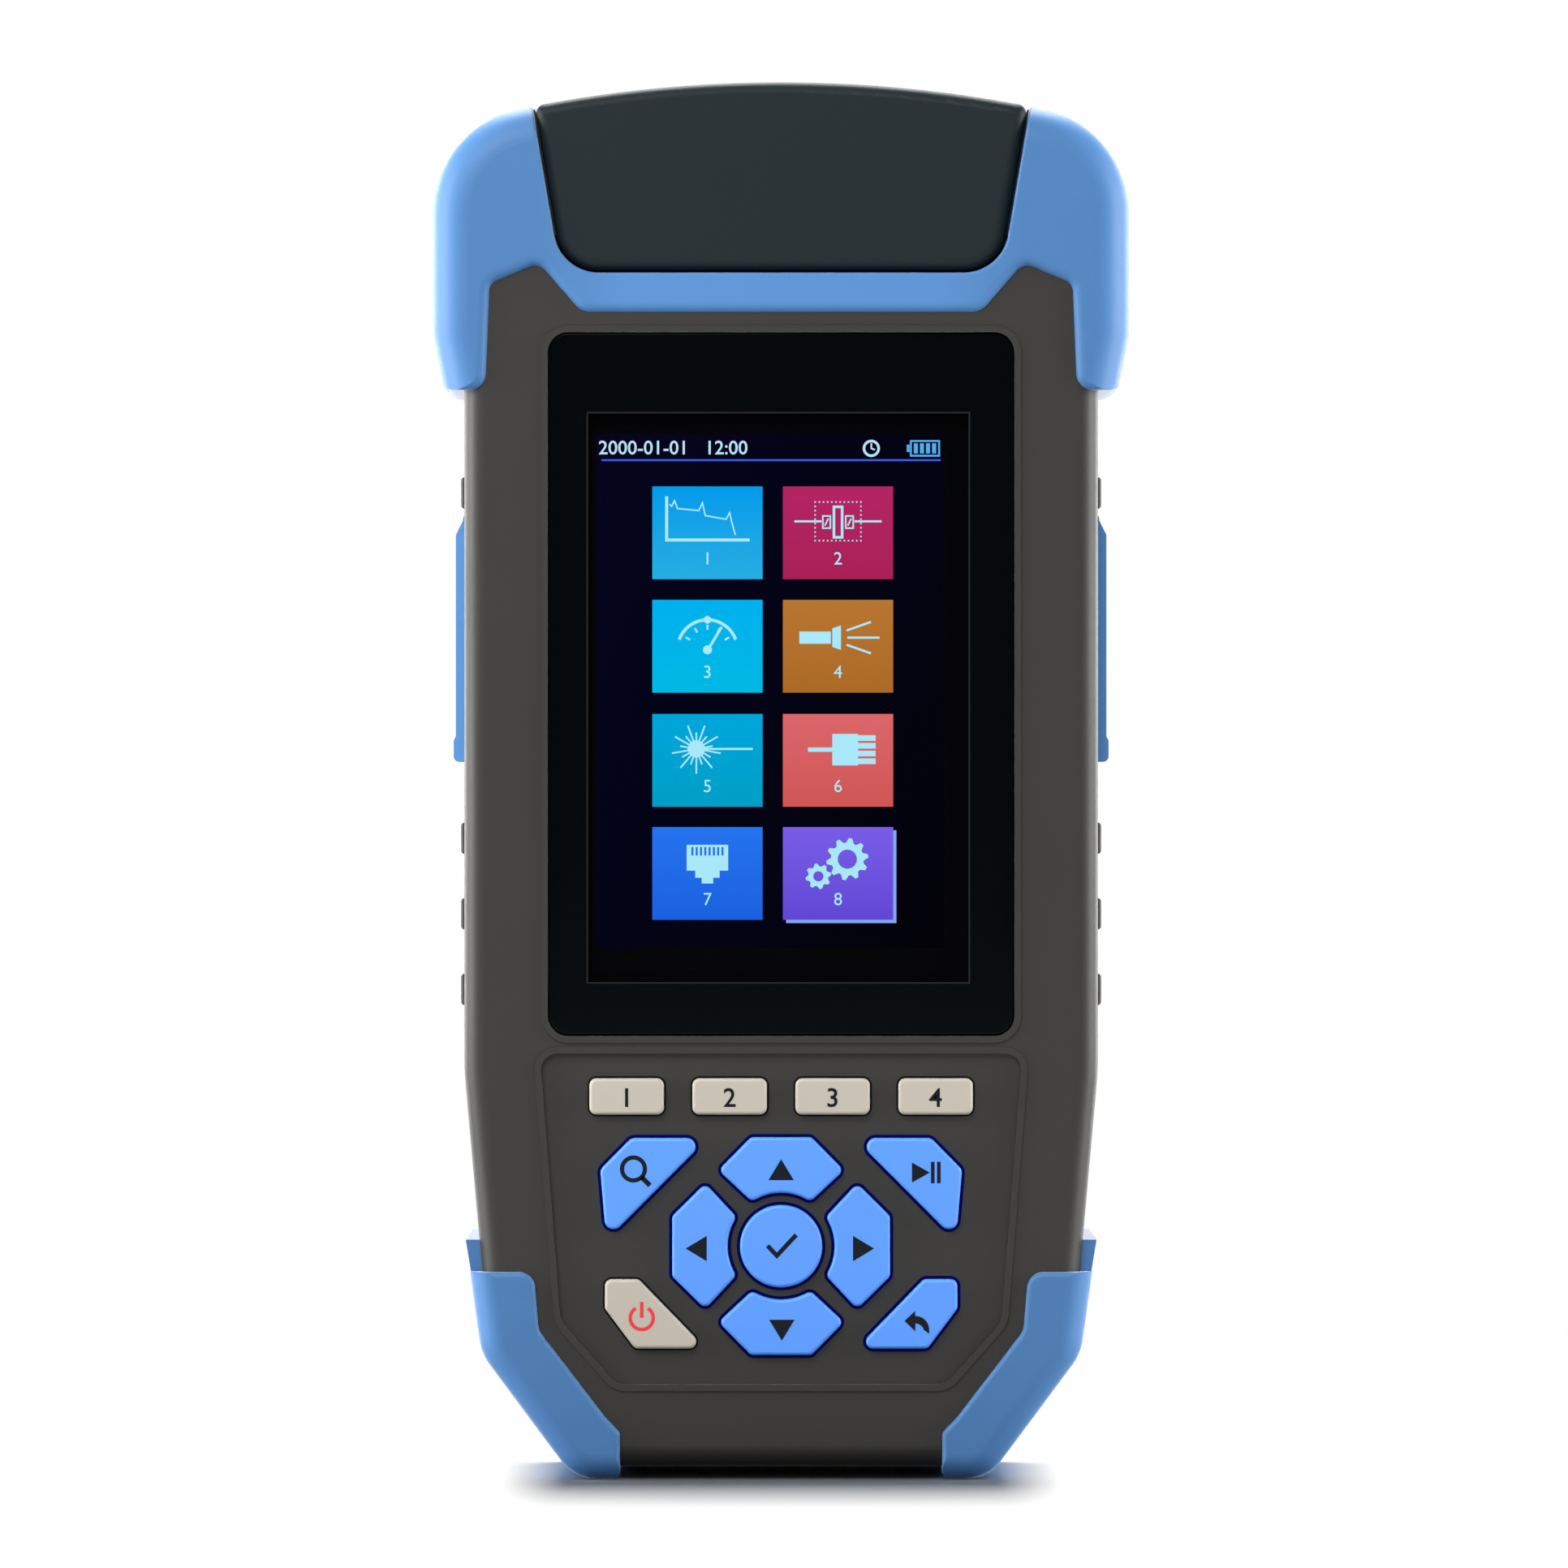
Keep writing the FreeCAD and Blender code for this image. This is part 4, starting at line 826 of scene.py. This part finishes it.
# The chosen tile, the last one, casts a pale blue edge to its right and below.
cast = 0.45 * mm
half_width, half_height = tile_width / 2, tile_height / 2
cast_loop = [(cast - half_width, -half_height), (cast - half_width, -half_height - cast),
             (half_width + cast, -half_height - cast), (half_width + cast, half_height - cast),
             (half_width, half_height - cast), (half_width, -half_height)]
printed("chosen_tile_edge", [[cast_loop]], (tile_columns[1], tile_rows[3]),
        lit("chosen edge light", (0.22, 0.42, 0.92)), *on_screen(1))


# ------------------------------------------------------------------ keypad
# Hard caps on a silicone mat: satin blue and pale stone plastic, with symbols printed in
# dark ink, and red on the power key.
key_blue = moulded("key blue plastic", (0.085, 0.295, 0.90), grain=0.25 * mm, depth=0.006 * mm,
                   roughness=0.42, spread=0.03)
key_stone = moulded("key stone plastic", (0.47, 0.43, 0.36), grain=0.25 * mm, depth=0.008 * mm,
                    roughness=0.45, spread=0.03)
blue_keys = ["key_ok", "key_up", "key_down", "key_left", "key_right", "key_zoom", "key_run", "key_back"]
stone_keys = ["key_f1", "key_f2", "key_f3", "key_f4", "key_power"]
dress(blue_keys, key_blue)
dress(stone_keys, key_stone)


def moved_out(loop, distance):
    """The outline grown by a distance."""
    grown = []
    for k, (x, z) in enumerate(loop):
        before, after = loop[k - 1], loop[(k + 1) % len(loop)]
        first = math.atan2(z - before[1], x - before[0])
        second = math.atan2(after[1] - z, after[0] - x)
        bend = (second - first + math.pi) % (2 * math.pi) - math.pi
        middle = first + bend / 2 - math.pi / 2
        reach = distance / max(math.cos(bend / 2), 0.5)
        grown.append((x + reach * math.cos(middle), z + reach * math.sin(middle)))
    return grown


# Round each cap lies a thin dark ring at the keypad's floor, dark blue or black round the cap:
# painted shade for the gap round it.
keypad_floor = -21.5 * mm
gap_shade_clearance = 0.03 * mm
gap_shade_thickness = 0.04 * mm
blue_gap_shade = moulded("blue key gap shade", (0.0005, 0.001, 0.07), roughness=0.6, depth=0.004 * mm,
                    Specular_IOR_Level=0.02)
black_gap_shade = moulded("stone key gap shade", (0.004, 0.004, 0.003), roughness=0.6, depth=0.004 * mm,
                     Specular_IOR_Level=0.05)
# Each ring is painted shade for the gap between a cap and the case.
for names, seal, lip in ((blue_keys, blue_gap_shade, 0.44 * mm), (stone_keys, black_gap_shade, 0.28 * mm)):
    for name in names:
        outline = outline_at(name, keypad_floor - 0.3 * mm)
        printed(name + "_seal", [[moved_out(outline, lip), moved_out(outline, gap_shade_clearance)]], (0, 0), seal,
                keypad_floor - gap_shade_thickness / 2, gap_shade_thickness, "case", "mat_grey")

ink = Finish("key ink", (0.003, 0.004, 0.009), 0.5, Specular_IOR_Level=0.15)
ink.bump(ink.noise(0.2 * mm), 0.004 * mm)
red_ink = Finish("power ink", (0.75, 0.02, 0.035), 0.45)
red_ink.bump(red_ink.noise(0.2 * mm), 0.004 * mm)
ink_thickness = 0.03 * mm


def on_key(name):
    """The face and thickness of the ink on a key, and what it rides on."""
    slot = "key_beige" if name in stone_keys else "key_blue"
    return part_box(name)[0].y - ink_thickness / 2, ink_thickness, name, slot


def key_middle(name):
    low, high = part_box(name)
    return (low.x + high.x) / 2, (low.z + high.z) / 2


def key_print(name, groups, at, finish=ink, turn=0.0):
    printed(name + "_symbol", scaled(groups, mm), at, finish, *on_key(name), turn)


key_number_level = 53.2 * mm
key_number_height = 2.6 * mm
for number in (1, 2, 3, 4):
    name = "key_f%d" % number
    digits(name + "_symbol", str(number), (key_middle(name)[0], key_number_level), key_number_height,
           ink, *on_key(name), bold=0.04 * mm)

arrow_head = [[[(-1.78, -1.47), (1.78, -1.47), (0.0, 1.47)]]]
key_print("key_up", arrow_head, (0.0, 43.3 * mm))
key_print("key_down", arrow_head, (0.1 * mm, 20.9 * mm), turn=math.pi)
key_print("key_left", arrow_head, (-11.85 * mm, 32.3 * mm), turn=math.pi / 2)
key_print("key_right", arrow_head, (11.5 * mm, 32.3 * mm), turn=-math.pi / 2)

check_mark = [[stroke([(-1.9, 0.1), (-0.6, -1.3), (2.1, 1.6)], 0.62)]]
key_print("key_ok", check_mark, key_middle("key_ok"))
magnifier = [[round_loop(1.9), round_loop(1.3)], [stroke([(1.15, -1.15), (2.3, -2.3)], 0.7)]]
key_print("key_zoom", magnifier, (-20.6 * mm, 43.4 * mm))
run_pause = [[[(-2.1, -1.4), (0.4, 0.0), (-2.1, 1.4)]],
             [box_loop(0.5, 3.0, 0.8)], [box_loop(0.5, 3.0, 1.65)]]
key_print("key_run", run_pause, (20.35 * mm, 42.9 * mm))
power_mark = [[stroke(arc(1.6, 122, 418, count=40), 0.5)], [box_loop(0.5, 2.2, 0, 1.15)]]
key_print("key_power", power_mark, (-19.44 * mm, 22.6 * mm), red_ink)
return_mark = [[[(-1.75, 0.25), (-0.25, 1.65), (-0.25, 0.95)] + arc(1.9, 88, 5, -0.2, -0.95, 10)
                + [(1.72, -1.55)] + arc(1.25, 15, 88, -0.25, -1.35, 10) + [(-0.25, -1.2)]]]
key_print("key_back", return_mark, (18.95 * mm, 21.95 * mm))


# ------------------------------------------------------------------ stage
# A white floor that takes the object's shadow and a white backdrop. Soft lamps stand above
# and in front, behind, and tall ones at each side and behind it, for the rounded edges.
shadow_half_width = 29 * mm
shadow_half_depth = 23 * mm
shadow_side_fade = 6.0   # how much sooner the shadow ends at the sides than in front


def white_surface(name, colour, fade_from=None, fade_over=1.0):
    """White that the camera and reflections see glowing, all over or further out."""
    finish = Finish(name, (colour, colour, colour), 0.9, Specular_IOR_Level=0.0)
    tree = finish.tree
    rays = tree.nodes.new("ShaderNodeLightPath")
    camera_ray, glossy_ray, clear_ray = (Signal(finish, rays.outputs["Is %s Ray" % kind])
                                         for kind in ("Camera", "Glossy", "Transmission"))
    share = (camera_ray + glossy_ray + clear_ray).limited()
    if fade_from is not None:
        across, along, _ = finish.axes()
        beside = finish.maths("MAXIMUM", abs(across) - shadow_half_width, 0.0) * shadow_side_fade
        before = finish.maths("MAXIMUM", abs(along) - shadow_half_depth, 0.0)
        distance = finish.maths("SQRT", beside * beside + before * before)
        share = share * ((distance - fade_from) / fade_over).limited()
    glow_shader = tree.nodes.new("ShaderNodeEmission")
    blend = tree.nodes.new("ShaderNodeMixShader")
    tree.links.new(share.socket, blend.inputs[0])
    tree.links.new(finish.shader.outputs[0], blend.inputs[1])
    tree.links.new(glow_shader.outputs[0], blend.inputs[2])
    tree.links.new(blend.outputs[0], tree.nodes["Material Output"].inputs["Surface"])
    return finish


floor_size = 6.0
backdrop_size = 8.0
backdrop_distance = 2.6
bpy.ops.mesh.primitive_plane_add(size=floor_size, location=(0, 0, 0))
floor = bpy.context.object
floor.name = "floor"
floor_white = white_surface("floor white", 0.85, fade_from=8 * mm, fade_over=51 * mm)
floor.data.materials.append(floor_white.material)
bpy.ops.mesh.primitive_plane_add(size=backdrop_size, location=(0, backdrop_distance, 0),
                                 rotation=(math.pi / 2, 0, 0))
backdrop = bpy.context.object
backdrop.name = "backdrop"
backdrop.data.materials.append(white_surface("backdrop white", 0.9).material)

lit_pieces = bpy.data.collections.new("object only")
for piece in scene.objects:
    if piece.type == "MESH" and piece not in (floor, backdrop):
        lit_pieces.objects.link(piece)


def soft_lamp(name, place, width, height, power, floor_too=False):
    """Soft panel that faces the middle of the object, in watts and metres."""
    lamp = bpy.data.lights.new(name, "AREA")
    lamp.shape = "RECTANGLE"
    lamp.size = width
    lamp.size_y = height
    lamp.energy = power
    holder = bpy.data.objects.new(name, lamp)
    holder.location = place
    holder.rotation_euler = (object_middle - holder.location).to_track_quat("-Z", "Y").to_euler()
    scene.collection.objects.link(holder)
    if not floor_too:
        holder.light_linking.receiver_collection = lit_pieces


object_middle = (cad_box[0] + cad_box[1]) / 2
soft_lamp("front lamp", (-0.2, -0.52, 0.55), 0.45, 0.35, 4.0)
soft_lamp("back lamp", (0.0, 0.35, 0.75), 0.5, 0.4, 9.5, floor_too=True)
soft_lamp("left lamp", (-0.55, -0.06, 0.16), 0.3, 0.5, 6.4)
soft_lamp("right lamp", (0.55, -0.06, 0.16), 0.3, 0.5, 5.6)
soft_lamp("left rim lamp", (-0.42, 0.4, 0.12), 0.2, 0.5, 3.0)
soft_lamp("right rim lamp", (0.42, 0.4, 0.12), 0.2, 0.5, 3.0)
soft_lamp("floor glow", (0.0, -0.3, 0.012), 0.4, 0.015, 0.1)

# The room lights the object faintly, and the camera sees it plain white.
room = bpy.data.worlds.new("studio")
scene.world = room
room.use_nodes = True
room_tree = room.node_tree
room_light = room_tree.nodes["Background"]
room_light.inputs["Color"].default_value = (1, 1, 1, 1)
room_light.inputs["Strength"].default_value = 0.18
room_white = room_tree.nodes.new("ShaderNodeBackground")
room_white.inputs["Color"].default_value = (1, 1, 1, 1)
room_rays = room_tree.nodes.new("ShaderNodeLightPath")
either = room_tree.nodes.new("ShaderNodeMixShader")
room_tree.links.new(room_rays.outputs["Is Camera Ray"], either.inputs[0])
room_tree.links.new(room_light.outputs[0], either.inputs[1])
room_tree.links.new(room_white.outputs[0], either.inputs[2])
room_tree.links.new(either.outputs[0], room_tree.nodes["World Output"].inputs["Surface"])

# The long lens keeps the view nearly parallel, as the object's own proportions need.
camera_distance = 1.6
camera_across = 0.4 * mm
camera_height = 97.1 * mm
view_width = 218.7 * mm
camera = bpy.data.cameras.new("camera")
camera.sensor_width = 36.0
camera.lens = camera.sensor_width * (camera_distance + cad_box[0].y) / view_width
camera_holder = bpy.data.objects.new("camera", camera)
camera_holder.location = (camera_across, -camera_distance, camera_height)
camera_holder.rotation_euler = (math.pi / 2, 0, 0)
scene.collection.objects.link(camera_holder)
scene.camera = camera_holder
scene.view_settings.view_transform = "Standard"
